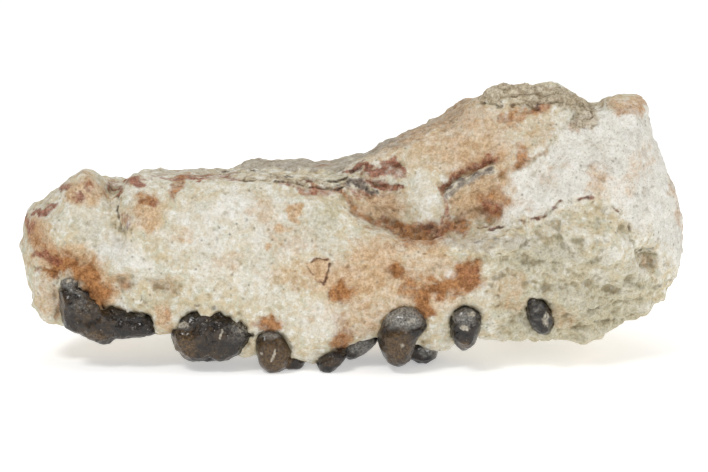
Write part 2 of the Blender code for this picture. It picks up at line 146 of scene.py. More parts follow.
def line_distance(points: tuple, at: np.ndarray) -> np.ndarray:
    """Measures how far places lie from a line.

    Args:
        points: the line's corners as pairs of u and v.
        at: rows of u and v.

    Returns:
        The distance of each row, in pixels.
    """
    nearest = np.full(len(at), np.inf)
    for start, end in zip(np.array(points, float), np.array(points[1:], float)):
        run = end - start
        share = np.clip((at - start) @ run / (run @ run), 0.0, 1.0)
        gap = at - start - share[:, None] * run
        nearest = np.minimum(nearest, np.hypot(gap[:, 0], gap[:, 1]))
    return nearest


@dataclass(frozen=True)
class Blot:
    """An oval mark: its centre, half sizes and turn, and how soft its edge is."""

    u: float
    v: float
    half_u: float
    half_v: float
    turn: float = 0.0
    soft: float = 0.6

    @property
    def fine(self) -> bool:
        """Whether the mark is small enough to keep its drawn place."""
        return max(self.half_u, self.half_v) < 8.0

    def reach(self) -> tuple[float, float, float, float]:
        """The lowest and highest u and v that the mark can touch."""
        far = max(self.half_u, self.half_v) * (1 + self.soft)
        return self.u - far, self.v - far, self.u + far, self.v + far

    def cover(self, at: np.ndarray) -> np.ndarray:
        """How much the mark covers each row of u and v, from 0 to 1.

        Args:
            at: rows of u and v.

        Returns:
            The cover of each row.
        """
        angle = math.radians(self.turn)
        du, dv = at[:, 0] - self.u, at[:, 1] - self.v
        along = (du * math.cos(angle) + dv * math.sin(angle)) / self.half_u
        across = (dv * math.cos(angle) - du * math.sin(angle)) / self.half_v
        return ease((1 + self.soft - np.hypot(along, across)) / (2 * self.soft))


@dataclass(frozen=True)
class Streak:
    """A mark along a line: its corners, half width and how soft its edge is."""

    points: tuple
    half_width: float
    soft: float = 0.6

    @property
    def fine(self) -> bool:
        """Whether the mark is thin enough to keep its drawn place."""
        return self.half_width < 2.6

    def reach(self) -> tuple[float, float, float, float]:
        """The lowest and highest u and v that the mark can touch.

        Returns:
            Low u, low v, high u and high v.
        """
        far = self.half_width * (1 + self.soft)
        low, high = np.min(self.points, axis=0) - far, np.max(self.points, axis=0) + far
        return (*low, *high)

    def cover(self, at: np.ndarray) -> np.ndarray:
        """How much the mark covers each row of u and v, from 0 to 1."""
        away = line_distance(self.points, at) / self.half_width
        return ease((1 + self.soft - away) / (2 * self.soft))


@dataclass(frozen=True)
class Patch:
    """A mark with a drawn outline: its corners and how wide its soft edge is, in pixels."""

    points: tuple
    soft: float = 4.0

    @property
    def fine(self) -> bool:
        """Whether the mark's outline is sharp enough to keep its drawn place."""
        return self.soft < 2.6

    def reach(self) -> tuple[float, float, float, float]:
        """The lowest and highest u and v that the mark can touch."""
        low, high = np.min(self.points, axis=0), np.max(self.points, axis=0)
        return (*(low - self.soft), *(high + self.soft))

    def cover(self, at: np.ndarray) -> np.ndarray:
        """How much the mark covers each row of u and v, from 0 to 1.

        Args:
            at: rows of u and v.

        Returns:
            The cover of each row.
        """
        ring = (*self.points, self.points[0])
        inside = np.zeros(len(at), bool)
        for (u0, v0), (u1, v1) in zip(ring, ring[1:]):
            if v0 == v1:
                continue
            crossing = u0 + (at[:, 1] - v0) * (u1 - u0) / (v1 - v0)
            inside ^= ((v0 > at[:, 1]) != (v1 > at[:, 1])) & (at[:, 0] < crossing)
        away = line_distance(ring, at) * np.where(inside, 1.0, -1.0)
        return ease(0.5 + away / (2 * self.soft))


Mark = Blot | Streak | Patch


def of_strength(groups: dict[float, tuple[Mark, ...]]) -> Iterator[tuple[float, Mark]]:
    """Gives each mark with the strength of its group."""
    return ((strength, mark) for strength, marks in groups.items() for mark in marks)


def is_crack(mark: Mark) -> bool:
    """Whether a mark is a thin crack, which opens and closes along its course."""
    return mark.fine and isinstance(mark, Streak)


def cover_of(mark: Mark, at: np.ndarray) -> np.ndarray:
    """How much a mark covers each row of u and v, worked out only where it can reach.

    Args:
        mark: the mark.
        at: rows of u and v.

    Returns:
        The cover of each row, from 0 to 1.
    """
    low_u, low_v, high_u, high_v = mark.reach()
    near = ((at[:, 0] > low_u) & (at[:, 0] < high_u) & (at[:, 1] > low_v) & (at[:, 1] < high_v))
    found = np.zeros(len(at))
    found[near] = mark.cover(at[near])
    return found


# ---------------------------------------------------------------- natural unevenness


SLOPES = np.random.default_rng(11).uniform(-1.0, 1.0, (4096, 3))


def cell_keys(cells: np.ndarray, seed: int) -> np.ndarray:
    """Turns whole-number cells into scrambled numbers, the same on each run.

    Args:
        cells: rows of three whole numbers.
        seed: which of the many patterns.

    Returns:
        One whole number from 0 to 2**32 - 1 for each row.
    """
    mixed = cells[:, 0] * 73856093 ^ cells[:, 1] * 19349663 ^ cells[:, 2] * 83492791
    mixed ^= seed * 2654435761
    mixed ^= mixed >> 15
    return ((mixed * 0x2C1B3C6D) >> 12) & 0xFFFFFFFF


def soft_noise(points: np.ndarray, seed: int = 0) -> np.ndarray:
    """Smooth noise from about -1 to 1, with features one unit across.

    Args:
        points: rows of x, y, z in units of a feature.
        seed: which of the many patterns.

    Returns:
        A value for each row.
    """
    cell = np.floor(points).astype(np.int64)
    local = points - cell
    eased = local * local * (3.0 - 2.0 * local)
    total = np.zeros(len(points))
    for corner in itertools.product((0, 1), repeat=3):
        slope = SLOPES[cell_keys(cell + corner, seed) & 4095]
        share = np.prod(np.where(corner, eased, 1.0 - eased), axis=1)
        total += share * np.einsum("ij,ij->i", slope, local - corner)
    return total * 1.5


def layered_noise(points: np.ndarray, layers: int, seed: int, keep: float = 0.5) -> np.ndarray:
    """Noise with finer and finer layers on it.

    Args:
        points: rows of x, y, z in units of the coarsest feature.
        layers: how many layers.
        seed: which of the many patterns.
        keep: how high each layer is, as a share of the one before.

    Returns:
        A value from about -1 to 1 for each row.
    """
    total, height = np.zeros(len(points)), 1.0
    for layer in range(layers):
        total += height * soft_noise(points * 2.03 ** layer, seed + 7 * layer)
        height *= keep
    return total


def noise_columns(points: np.ndarray, size: float, layers: int, *seeds: int) -> np.ndarray:
    """One column of layered noise for each seed, with features of this size in millimetres."""
    return np.column_stack([layered_noise(points / size, layers, seed) for seed in seeds])


def ridges(points: np.ndarray, layers: int, seed: int, keep: float = 0.5) -> np.ndarray:
    """Noise with sharp crests and round hollows, in finer and finer layers.

    Args:
        points: rows of x, y, z in units of the coarsest feature.
        layers: how many layers.
        seed: which of the many patterns.
        keep: how high each layer is, as a share of the one before.

    Returns:
        A value from about -1 to 1 for each row.
    """
    total, height = np.zeros(len(points)), 1.0
    for layer in range(layers):
        total += height * (0.5 - 2.2 * np.abs(soft_noise(points * 2.1 ** layer, seed + 7 * layer)))
        height *= keep
    return total


def pits(points: np.ndarray, spacing: float, share: float, seed: int) -> np.ndarray:
    """Round pits strewn through space.

    Args:
        points: rows of x, y, z in millimetres.
        spacing: how far apart the pits' places are, in millimetres.
        share: the share of the places that have a pit.
        seed: which of the many patterns.

    Returns:
        How deep each row lies in a pit, from 0 to 1.
    """
    cell = np.floor(points / spacing).astype(np.int64)
    deepest = np.zeros(len(points))
    for corner in itertools.product((-1, 0, 1), repeat=3):
        mixed = cell_keys(cell + corner, seed)
        place = np.column_stack([(mixed >> shift) & 255 for shift in (0, 8, 16)]) / 255.0
        size = spacing * (0.16 + 0.26 * ((mixed >> 24) & 15) / 15.0)
        away = points - (cell + corner + place) * spacing
        depth = 1.0 - np.einsum("ij,ij->i", away, away) / size**2
        there = ((mixed >> 28) & 15) < share * 16
        deepest = np.maximum(deepest, np.where(there, depth, 0.0))
    return deepest


def terraces(points: np.ndarray, height: float, seed: int) -> np.ndarray:
    """Level beds of uneven thickness, each standing out a little further at its foot.

    Args:
        points: rows of x, y, z in millimetres.
        height: how thick a bed is, in millimetres.
        seed: which of the many patterns.

    Returns:
        A value from -0.5 under each bed to 0.5 at its foot.
    """
    level = points[:, 2] / height + 0.7 * layered_noise(points / 6.0, 2, seed)
    share = level - np.floor(level)
    return np.where(share < 0.82, 0.5 - share / 0.82, (share - 0.82) / 0.18 - 0.5)


# ---------------------------------------------------------------- the bench: tools used by hand


def pick(*objects: bpy.types.Object) -> None:
    """Selects these objects and nothing else, and makes the first one active.

    Args:
        objects: what to select.
    """
    bpy.ops.object.select_all(action="DESELECT")
    for each in objects:
        each.select_set(True)
    bpy.context.view_layer.objects.active = objects[0]


def place_in_scene(name: str, data: bpy.types.ID) -> bpy.types.Object:
    """Makes an object of this mesh, light or camera and puts it in the scene.

    Args:
        name: the object's name.
        data: what it shows.

    Returns:
        The new object.
    """
    made = bpy.data.objects.new(name, data)
    bpy.context.scene.collection.objects.link(made)
    return made


def twin_of(piece: bpy.types.Object, name: str) -> bpy.types.Object:
    """Copies a piece, with a mesh of its own.

    Args:
        piece: the mesh piece.
        name: the copy's name.

    Returns:
        The copy.
    """
    made = place_in_scene(name, piece.data.copy())
    made.data.name = name
    return made


def copy_of(node: str, name: str) -> bpy.types.Object:
    """Copies a CAD node's mesh as a new object, with its loose triangles merged.

    Args:
        node: the CAD node's name.
        name: the copy's name.

    Returns:
        The copy, as one closed mesh.
    """
    made = twin_of(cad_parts[node], name)
    made.data.materials.clear()
    pick(made)
    bpy.ops.object.mode_set(mode="EDIT")
    bpy.ops.mesh.select_all(action="SELECT")
    bpy.ops.mesh.remove_doubles(threshold=1e-6)
    bpy.ops.object.mode_set(mode="OBJECT")
    return made


def apply(piece: bpy.types.Object, kind: str, **settings: object) -> None:
    """Adds one modifier with these settings and applies it.

    Args:
        piece: the mesh piece.
        kind: the kind of modifier.
        settings: the modifier's settings.
    """
    pick(piece)
    added = piece.modifiers.new(kind.lower(), kind)
    for name, value in settings.items():
        setattr(added, name, value)
    bpy.ops.object.modifier_apply(modifier=added.name)


def grow(piece: bpy.types.Object, by: float) -> None:
    """Moves the whole skin outwards by this many millimetres."""
    apply(piece, "DISPLACE", mid_level=0.0, strength=by * MM)


def points_of(piece: bpy.types.Object) -> np.ndarray:
    """The piece's points as rows of x, y, z in millimetres.

    Args:
        piece: the mesh piece.

    Returns:
        One row for each point.
    """
    flat = np.empty(len(piece.data.vertices) * 3, np.float32)
    piece.data.vertices.foreach_get("co", flat)
    return flat.reshape(-1, 3).astype(float) / MM


def normals_of(piece: bpy.types.Object) -> np.ndarray:
    """The piece's outward directions, one row for each point.

    Args:
        piece: the mesh piece.

    Returns:
        Rows of x, y, z.
    """
    flat = np.empty(len(piece.data.vertices) * 3, np.float32)
    piece.data.vertex_normals.foreach_get("vector", flat)
    return flat.reshape(-1, 3).astype(float)


def set_points(piece: bpy.types.Object, points: np.ndarray) -> None:
    """Moves the piece's points to these places in millimetres, none below the ground.

    Args:
        piece: the mesh piece.
        points: one row for each point.
    """
    points[:, 2] = np.maximum(points[:, 2], 0.0)
    piece.data.vertices.foreach_set("co", (points * MM).astype(np.float32).ravel())
    piece.data.update()


def set_mask(piece: bpy.types.Object, name: str, values: np.ndarray) -> None:
    """Writes one value for each point as the attribute of this name."""
    layer = piece.data.attributes.get(name) or piece.data.attributes.new(name, "FLOAT", "POINT")
    layer.data.foreach_set("value", values.astype(np.float32))


def mask_of(piece: bpy.types.Object, name: str) -> np.ndarray:
    """The values of one of the piece's attributes, one for each point.

    Args:
        piece: the mesh piece.
        name: the attribute's name.

    Returns:
        The values.
    """
    values = np.empty(len(piece.data.vertices), np.float32)
    piece.data.attributes[name].data.foreach_get("value", values)
    return values


def near_tree(places: list[Vector]) -> KDTree:
    """A search tree of these places.

    Args:
        places: the places, in metres.

    Returns:
        The tree.
    """
    tree = KDTree(len(places))
    for number, place in enumerate(places):
        tree.insert(place, number)
    tree.balance()
    return tree


def cut(piece: bpy.types.Object, cutter: bpy.types.Object, operation: str) -> None:
    """Cuts a piece and gives each new point the stains of the nearest old one.

    Args:
        piece: the mesh piece, whose point attributes are its stains.
        cutter: the solid that cuts it.
        operation: the Boolean modifier's operation.
    """
    names = [each.name for each in piece.data.attributes
             if each.data_type == "FLOAT" and each.domain == "POINT"]
    old = {name: mask_of(piece, name) for name in names}
    tree = near_tree([vert.co for vert in piece.data.vertices])
    set_mask(piece, "kept", np.ones(len(piece.data.vertices)))
    apply(piece, "BOOLEAN", operation=operation, object=cutter, solver="MANIFOLD")
    fresh = np.where(mask_of(piece, "kept") < 0.999)[0]
    nearest = [tree.find(piece.data.vertices[i].co)[1] for i in fresh]
    for name in names:
        values = mask_of(piece, name)
        values[fresh] = old[name][nearest]
        set_mask(piece, name, values)
    piece.data.attributes.remove(piece.data.attributes["kept"])


def spread(piece: bpy.types.Object, values: np.ndarray, rounds: int) -> np.ndarray:
    """Averages each point's values with those of its neighbours.

    Args:
        piece: the mesh piece.
        values: a row of values for each of its points.
        rounds: how often this is done.

    Returns:
        The rows, evened out.
    """
    ends = np.empty(len(piece.data.edges) * 2, np.int32)
    piece.data.edges.foreach_get("vertices", ends)
    left, right = ends.reshape(-1, 2).T
    count = len(values)
    links = 1 + np.bincount(left, minlength=count) + np.bincount(right, minlength=count)
    found = values.copy()
    for _ in range(rounds):
        for column in range(found.shape[1]):
            line = found[:, column]
            total = np.bincount(left, line[right], count) + np.bincount(right, line[left], count)
            found[:, column] = (total + line) / links
    return found


def hollows_of(piece: bpy.types.Object, rounds: int, depth: float) -> np.ndarray:
    """Finds how deep each point lies in a hollow of the skin.

    Args:
        piece: the mesh piece.
        rounds: how often the skin is smoothed to see what lies below it.
        depth: the depth in millimetres that counts as 1.

    Returns:
        A value from -1 on sharp ridges to 1 in deep hollows.
    """
    points = points_of(piece)
    below = np.einsum("ij,ij->i", spread(piece, points, rounds) - points, normals_of(piece))
    return np.clip(below / depth, -1.0, 1.0)


def attach(piece: bpy.types.Object, slot: str, material: bpy.types.Material, *nodes: str) -> None:
    """Dresses a finished piece and hangs it on the frame.

    Args:
        piece: the finished mesh piece.
        slot: not used.
        material: the material that it wears.
        nodes: the CAD nodes that it stands for.
    """
    piece.data.materials.clear()
    piece.data.materials.append(material)
    pick(piece)
    bpy.ops.object.shade_smooth()
    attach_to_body(piece, BODY)
    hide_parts(*nodes)
    LOG.info("%s: %d faces, stands for %s", piece.name, len(piece.data.polygons), ", ".join(nodes))


# ---------------------------------------------------------------- node groups and materials


def tint(code: str) -> tuple[float, float, float, float]:
    """A colour as Blender mixes it, from six hex digits as seen on a screen.

    Args:
        code: the six hex digits.

    Returns:
        Red, green, blue and full cover.
    """
    parts = [int(code[i:i + 2], 16) / 255 for i in (0, 2, 4)]
    linear = [p / 12.92 if p <= 0.04045 else ((p + 0.055) / 1.055) ** 2.4 for p in parts]
    return (*linear, 1.0)


class Graph:
    """Adds nodes to one node tree and links them as they are added."""

    def __init__(self, tree: bpy.types.NodeTree) -> None:
        """Works on the given tree."""
        self.tree = tree

    def add(self, kind: str, inputs: dict | None = None, **settings: object) -> bpy.types.Node:
        """Adds a node.

        Args:
            kind: the node's type without its ShaderNode prefix.
            inputs: what goes into its inputs, by name or number: a socket or a plain value.
            settings: the node's own settings.

        Returns:
            The new node.
        """
        node = self.tree.nodes.new("ShaderNode" + kind)
        for name, value in settings.items():
            setattr(node, name, value)
        self.fill(node, inputs or {})
        return node

    def fill(self, node: bpy.types.Node, inputs: dict) -> None:
        """Links a socket or sets a plain value for each of these inputs of a node.

        Args:
            node: the node.
            inputs: what goes into its inputs, by name or number.
        """
        for key, value in inputs.items():
            if isinstance(value, bpy.types.NodeSocket):
                self.tree.links.new(value, node.inputs[key])
            else:
                node.inputs[key].default_value = value

    def group(self, tree: bpy.types.NodeTree, **inputs: object) -> bpy.types.Node:
        """Adds a node group with these inputs, whose names have _ for each space."""
        named = {name.replace("_", " "): value for name, value in inputs.items()}
        return self.add("Group", named, node_tree=tree)

    def math(self, operation: str, *values: object) -> bpy.types.NodeSocket:
        """The result of one sum on sockets and plain numbers."""
        return self.add("Math", dict(enumerate(values)), operation=operation).outputs[0]

    def grey(self, tone: object) -> bpy.types.NodeSocket:
        """A grey of this brightness."""
        return self.add("CombineColor", {0: tone, 1: tone, 2: tone}).outputs[0]

    def millimetres(self) -> bpy.types.NodeSocket:
        """The place on the piece, in millimetres."""
        inputs = {"Vector": self.add("TexCoord").outputs["Object"], "Scale": (1 / MM,) * 3}
        return self.add("Mapping", inputs).outputs["Vector"]

    def blend(self, share: object, low: object, high: object,
              how: str = "MIX") -> bpy.types.NodeSocket:
        """Mixes two colours.

        Args:
            share: how much of the second one shows.
            low: the first colour.
            high: the second colour.
            how: the way of mixing.

        Returns:
            The mixed colour.
        """
        inputs = {"Factor": share, 6: low, 7: high}
        node = self.add("Mix", inputs, data_type="RGBA", blend_type=how)
        return node.outputs[2]

    def span(self, value: object, low: float, high: float,
             to: tuple[float, float] = (0.0, 1.0)) -> bpy.types.NodeSocket:
        """Eases a value that runs from low to high into the given span.

        Args:
            value: the value.
            low: where it starts.
            high: where it ends.
            to: what these two become.

        Returns:
            The eased value.
        """
        inputs = {"Value": value, "From Min": low, "From Max": high,
                  "To Min": to[0], "To Max": to[1]}
        return self.add("MapRange", inputs, interpolation_type="SMOOTHSTEP").outputs["Result"]

    def mask(self, name: str) -> bpy.types.NodeSocket:
        """The piece's own attribute of this name."""
        return self.add("Attribute", attribute_name=name).outputs["Fac"]

    def noise(self, at: object, scale: float, detail: float = 3.0, rough: float = 0.6,
              **more: float) -> bpy.types.NodeSocket:
        """Noise at these places, with this many features to the millimetre."""
        inputs = {"Vector": at, "Scale": scale, "Detail": detail, "Roughness": rough, **more}
        return self.add("TexNoise", inputs).outputs[0]


def new_material(name: str) -> tuple[bpy.types.Material, Graph, bpy.types.Node]:
    """Starts a material, and gives it with its graph and its Principled shader.

    Args:
        name: the material's name.

    Returns:
        The material, its graph and its shader.
    """
    made = bpy.data.materials.new(name)
    made.use_nodes = True
    return made, Graph(made.node_tree), made.node_tree.nodes["Principled BSDF"]


def new_group(name: str, inputs: dict[str, str], outputs: dict[str, str]) -> tuple:
    """Starts a node group.

    Args:
        name: the group's name.
        inputs: each input's name and kind of socket.
        outputs: each output's name and kind of socket.

    Returns:
        The group's tree, its graph, its input node and its output node.
    """
    tree = bpy.data.node_groups.new(name, "ShaderNodeTree")
    for way, sockets in (("INPUT", inputs), ("OUTPUT", outputs)):
        for label, kind in sockets.items():
            tree.interface.new_socket(name=label, in_out=way, socket_type="NodeSocket" + kind)
    return tree, Graph(tree), tree.nodes.new("NodeGroupInput"), tree.nodes.new("NodeGroupOutput")


class SharedEffects:
    """The node groups that the stone and the enamel share."""

    def __init__(self) -> None:
        """Builds each group once."""
        self.ragged = self.build_ragged()
        self.grain = self.build_grain()
        self.pin_pits = self.build_pin_pits()

    def build_ragged(self) -> bpy.types.NodeTree:
        """A stain with a ragged, mottled edge instead of a soft one.

        Returns:
            The group, which puts out how much the stain covers.
        """
        tree, graph, given, out = new_group(
            "ragged stain",
            {"Mask": "Float", "Place": "Vector", "Size": "Float", "Break Up": "Float"},
            {"Cover": "Float"},
        )
        mask, place = given.outputs["Mask"], given.outputs["Place"]
        broad = graph.noise(place, given.outputs["Size"], 5.0, 0.62)
        fine_size = graph.math("MULTIPLY", given.outputs["Size"], 4.3)
        fine = graph.noise(place, fine_size, 3.0, 0.75)
        both = graph.math("ADD", graph.math("MULTIPLY", broad, 0.8), graph.math("MULTIPLY", fine, 0.2))
        shift = graph.math("MULTIPLY", graph.math("SUBTRACT", both, 0.5), given.outputs["Break Up"])
        worn = graph.span(graph.math("ADD", mask, shift), 0.08, 0.92)
        held = graph.math("MINIMUM", graph.math("MULTIPLY", mask, 3.0), 1.0)
        graph.fill(out, {"Cover": graph.math("MULTIPLY", worn, held)})
        return tree

    def build_grain(self) -> bpy.types.NodeTree:
        """The grain of stone: clouds, blotches, grit and dark specks, and its height.

        Returns:
            The group, which puts out one value for each of these.
        """
        tree, graph, given, out = new_group(
            "stone grain",
            {"Place": "Vector", "Speck Share": "Float"},
            {"Clouds": "Float", "Veils": "Float", "Blotches": "Float", "Grit": "Float",
             "Specks": "Float", "Height": "Float"},
        )
        place = given.outputs["Place"]
        clouds = graph.noise(place, 0.24, 4.0, 0.62, Distortion=0.5)
        veils = graph.noise(place, 0.47, 4.0, 0.6, Distortion=0.8)
        blotches = graph.noise(place, 0.95, 5.0, 0.68, Distortion=0.3)
        grit = graph.noise(place, 2.9, 4.0, 0.75)
        dots = graph.add("TexVoronoi", {"Vector": place, "Scale": 2.3, "Randomness": 1.0})
        level = graph.math("MULTIPLY", given.outputs["Speck Share"], blotches)
        specks = graph.span(graph.math("SUBTRACT", level, dots.outputs["Distance"]), -0.03, 0.05)
        height = graph.math("SUBTRACT", grit, graph.math("MULTIPLY", specks, 0.3))
        graph.fill(out, {"Clouds": clouds, "Veils": veils, "Blotches": blotches, "Grit": grit,
                         "Specks": specks, "Height": height})
        return tree

    def build_pin_pits(self) -> bpy.types.NodeTree:
        """Pin-sized pits: how deep each place lies in one.

        Returns:
            The group, which puts out that depth.
        """
        tree, graph, given, out = new_group(
            "pin pits", {"Place": "Vector", "Size": "Float", "Share": "Float"}, {"Depth": "Float"}
        )
        inputs = {"Vector": given.outputs["Place"], "Scale": given.outputs["Size"], "Randomness": 1.0}
        cells = graph.add("TexVoronoi", inputs)
        keep = graph.add("SeparateColor", {"Color": cells.outputs["Color"]}).outputs[0]
        some = graph.math("LESS_THAN", keep, given.outputs["Share"])
        depth = graph.span(cells.outputs["Distance"], 0.32, 0.08)
        graph.fill(out, {"Depth": graph.math("MULTIPLY", depth, some)})
        return tree


@dataclass(frozen=True)
class StainLook:
    """How a stain looks: its light and dark colours, how many ragged features it has to the
    millimetre, how strongly they break it up, and how much of what lies below it can hide."""

    light: str
    dark: str
    size: float
    break_up: float
    top: float

    def laid(self, graph: Graph, ragged: bpy.types.NodeTree, mask: str, place: bpy.types.NodeSocket,
             deep: bpy.types.NodeSocket, colour: bpy.types.NodeSocket) -> bpy.types.NodeSocket:
        """Lays the stain over a colour.

        Args:
            graph: the material's graph.
            ragged: the node group that breaks up a stain's edge.
            mask: the attribute that says where the stain is.
            place: the place on the piece, in millimetres.
            deep: where the stain has its dark colour.
            colour: what lies below it.

        Returns:
            The stained colour.
        """
        cover = graph.group(ragged, Mask=graph.mask(mask), Place=place, Size=self.size,
                            Break_Up=self.break_up).outputs["Cover"]
        own = graph.blend(deep, tint(self.light), tint(self.dark))
        return graph.blend(graph.math("MULTIPLY", cover, self.top), colour, own)


class Stain(Enum):
    """The stains and crusts of bone and rock, in the order in which they lie on each other. Some of
    their marks are painted shade or painted highlight.
    """

    CHALK = "chalk"
    GREY = "grey"
    OLIVE = "olive"
    TAN = "tan"
    RUST = "rust"
    WINE = "wine"
    CHAR = "char"
    CRUST = "crust"


@dataclass(frozen=True)
class StoneFinish:
    """Dry bone or rock: its own colours, its painted shade and highlight, and how each stain colours it.
    """

    name: str
    pale: str = "e0dac9"
    cream: str = "d9cbac"
    green: str = "cfcfbb"
    sand: str = "cab792"
    chalk: str = "efede4"
    dust: str = "b9ae96"
    roughness: float = 0.9
    speck_share: float = 0.24
    grain_height: float = 0.15
    # Dirt with painted shade, multiplied into hollows and close beside the teeth: its colour and its
    # greatest share.
    dirt_and_shade: str = "a3967a"
    dirt_and_shade_share: float = 0.65
    speck: str = "7d6a50"
    # Painted shade, with some dirt, in the pin pits.
    pit_shade: str = "6f624c"
    # Painted highlight, with some wear, on the ridges.
    rubbed_and_highlight: str = "ece8de"

    def material(self, effects: SharedEffects) -> bpy.types.Material:
        """Builds the material.

        Args:
            effects: the shared node groups.

        Returns:
            The material, which reads the piece's stain attributes.
        """
        made, graph, shader = new_material(self.name)
        place = graph.millimetres()
        grain = graph.group(effects.grain, Place=place, Speck_Share=self.speck_share)
        pit = graph.group(effects.pin_pits, Place=place, Size=1.1, Share=0.12).outputs["Depth"]
        colour = self.body_colour(graph, grain)
        colour = self.stained(graph, effects, place, grain.outputs["Grit"], colour)
        colour = self.shaded(graph, pit, grain, colour)
        rough = graph.span(grain.outputs["Grit"], 0.3, 0.7, (self.roughness - 0.12, self.roughness))
        height = graph.math("SUBTRACT", grain.outputs["Height"], graph.math("MULTIPLY", pit, 0.7))
        bump = graph.add("Bump", {"Height": height, "Distance": self.grain_height * MM, "Strength": 1.0})
        graph.fill(shader, {"Base Color": colour, "Roughness": rough, "Specular IOR Level": 0.3,
                            "Normal": bump.outputs["Normal"]})
        return made

    def body_colour(self, graph: Graph, grain: bpy.types.Node) -> bpy.types.NodeSocket:
        """The unstained stone: pale, with creamier clouds, sandy and chalky blotches and dust.

        Args:
            graph: the material's graph.
            grain: the grain's node.

        Returns:
            The colour.
        """
        clouds, blotches = grain.outputs["Clouds"], grain.outputs["Blotches"]
        colour = graph.blend(graph.span(clouds, 0.42, 0.6), tint(self.pale), tint(self.cream))
        veils = grain.outputs["Veils"]
        colour = graph.blend(graph.span(veils, 0.5, 0.64, (0.0, 0.75)), colour, tint(self.green))
        colour = graph.blend(graph.span(blotches, 0.5, 0.68, (0.0, 0.9)), colour, tint(self.sand))
        colour = graph.blend(graph.span(blotches, 0.5, 0.35, (0.0, 0.95)), colour, tint(self.chalk))
        grit = graph.span(grain.outputs["Grit"], 0.5, 0.7, (0.0, 0.4))
        return graph.blend(grit, colour, tint(self.dust))

    def stained(self, graph: Graph, effects: SharedEffects, place: bpy.types.NodeSocket,
                grit: bpy.types.NodeSocket, colour: bpy.types.NodeSocket) -> bpy.types.NodeSocket:
        """Lays the stains over the stone, each with its own colours and raggedness.

        Args:
            graph: the material's graph.
            effects: the shared node groups.
            place: the place on the piece, in millimetres.
            grit: the finest grain.
            colour: the unstained stone.

        Returns:
            The stained colour.
        """
        for stain, look in STAIN_LOOKS.items():
            mottle = graph.noise(place, look.size * 1.2, 5.0, 0.72)
            grainy = graph.math("ADD", graph.math("MULTIPLY", grit, 0.35),
                                graph.math("MULTIPLY", mottle, 0.65))
            deep = graph.span(grainy, 0.4, 0.6)
            colour = look.laid(graph, effects.ragged, stain.value, place, deep, colour)
        return colour

    def shaded(self, graph: Graph, pit: bpy.types.NodeSocket, grain: bpy.types.Node,
               colour: bpy.types.NodeSocket) -> bpy.types.NodeSocket:
        """Adds dark specks, painted shade and dirt in pits, hollows and beside the teeth, painted
        highlight and wear on ridges, and the fine light and dark of the grain.

        Args:
            graph: the material's graph.
            pit: how deep each place lies in a pit.
            grain: the grain's node.
            colour: the stained stone.

        Returns:
            The finished colour.
        """
        specks = graph.math("MULTIPLY", grain.outputs["Specks"], 0.45)
        colour = graph.blend(specks, colour, tint(self.speck))
        # Painted shade darkens the pin pits.
        colour = graph.blend(graph.math("MULTIPLY", pit, 0.5), colour, tint(self.pit_shade))
        # Painted shade, with some dirt, darkens the hollows and the skin close beside the teeth.
        dirt_and_shade = graph.span(graph.mask("hollow"), 0.0, 0.8, (0.0, self.dirt_and_shade_share))
        colour = graph.blend(dirt_and_shade, colour, tint(self.dirt_and_shade), "MULTIPLY")
        # Painted highlight, with some wear, pales the ridges.
        wear = graph.span(graph.mask("hollow"), -0.05, -0.7, (0.0, 0.5))
        colour = graph.blend(wear, colour, tint(self.rubbed_and_highlight))
        tone = graph.span(grain.outputs["Grit"], 0.3, 0.7, (1.06, 0.89))
        return graph.blend(1.0, colour, graph.grey(tone), "MULTIPLY")


# Olive, char, rust and wine also lay painted shade, and chalk painted highlight, where the marks below
# say so.
STAIN_LOOKS = {
    Stain.CHALK: StainLook("f4f2ec", "e4e1d7", 0.6, 1.5, 0.85),
    Stain.GREY: StainLook("c0b6a7", "988c7d", 0.8, 1.4, 0.9),
    Stain.OLIVE: StainLook("cbc4aa", "a39b7d", 1.1, 1.0, 0.72),
    Stain.TAN: StainLook("dfc09a", "b88f64", 0.8, 1.6, 0.87),
    Stain.RUST: StainLook("c08752", "835025", 0.9, 1.4, 0.94),
    Stain.WINE: StainLook("b07258", "6b3627", 1.3, 1.9, 0.9),
    Stain.CHAR: StainLook("75655a", "2c2320", 1.8, 1.6, 0.92),
    Stain.CRUST: StainLook("d8cbb2", "927f62", 0.7, 1.4, 0.85),
}


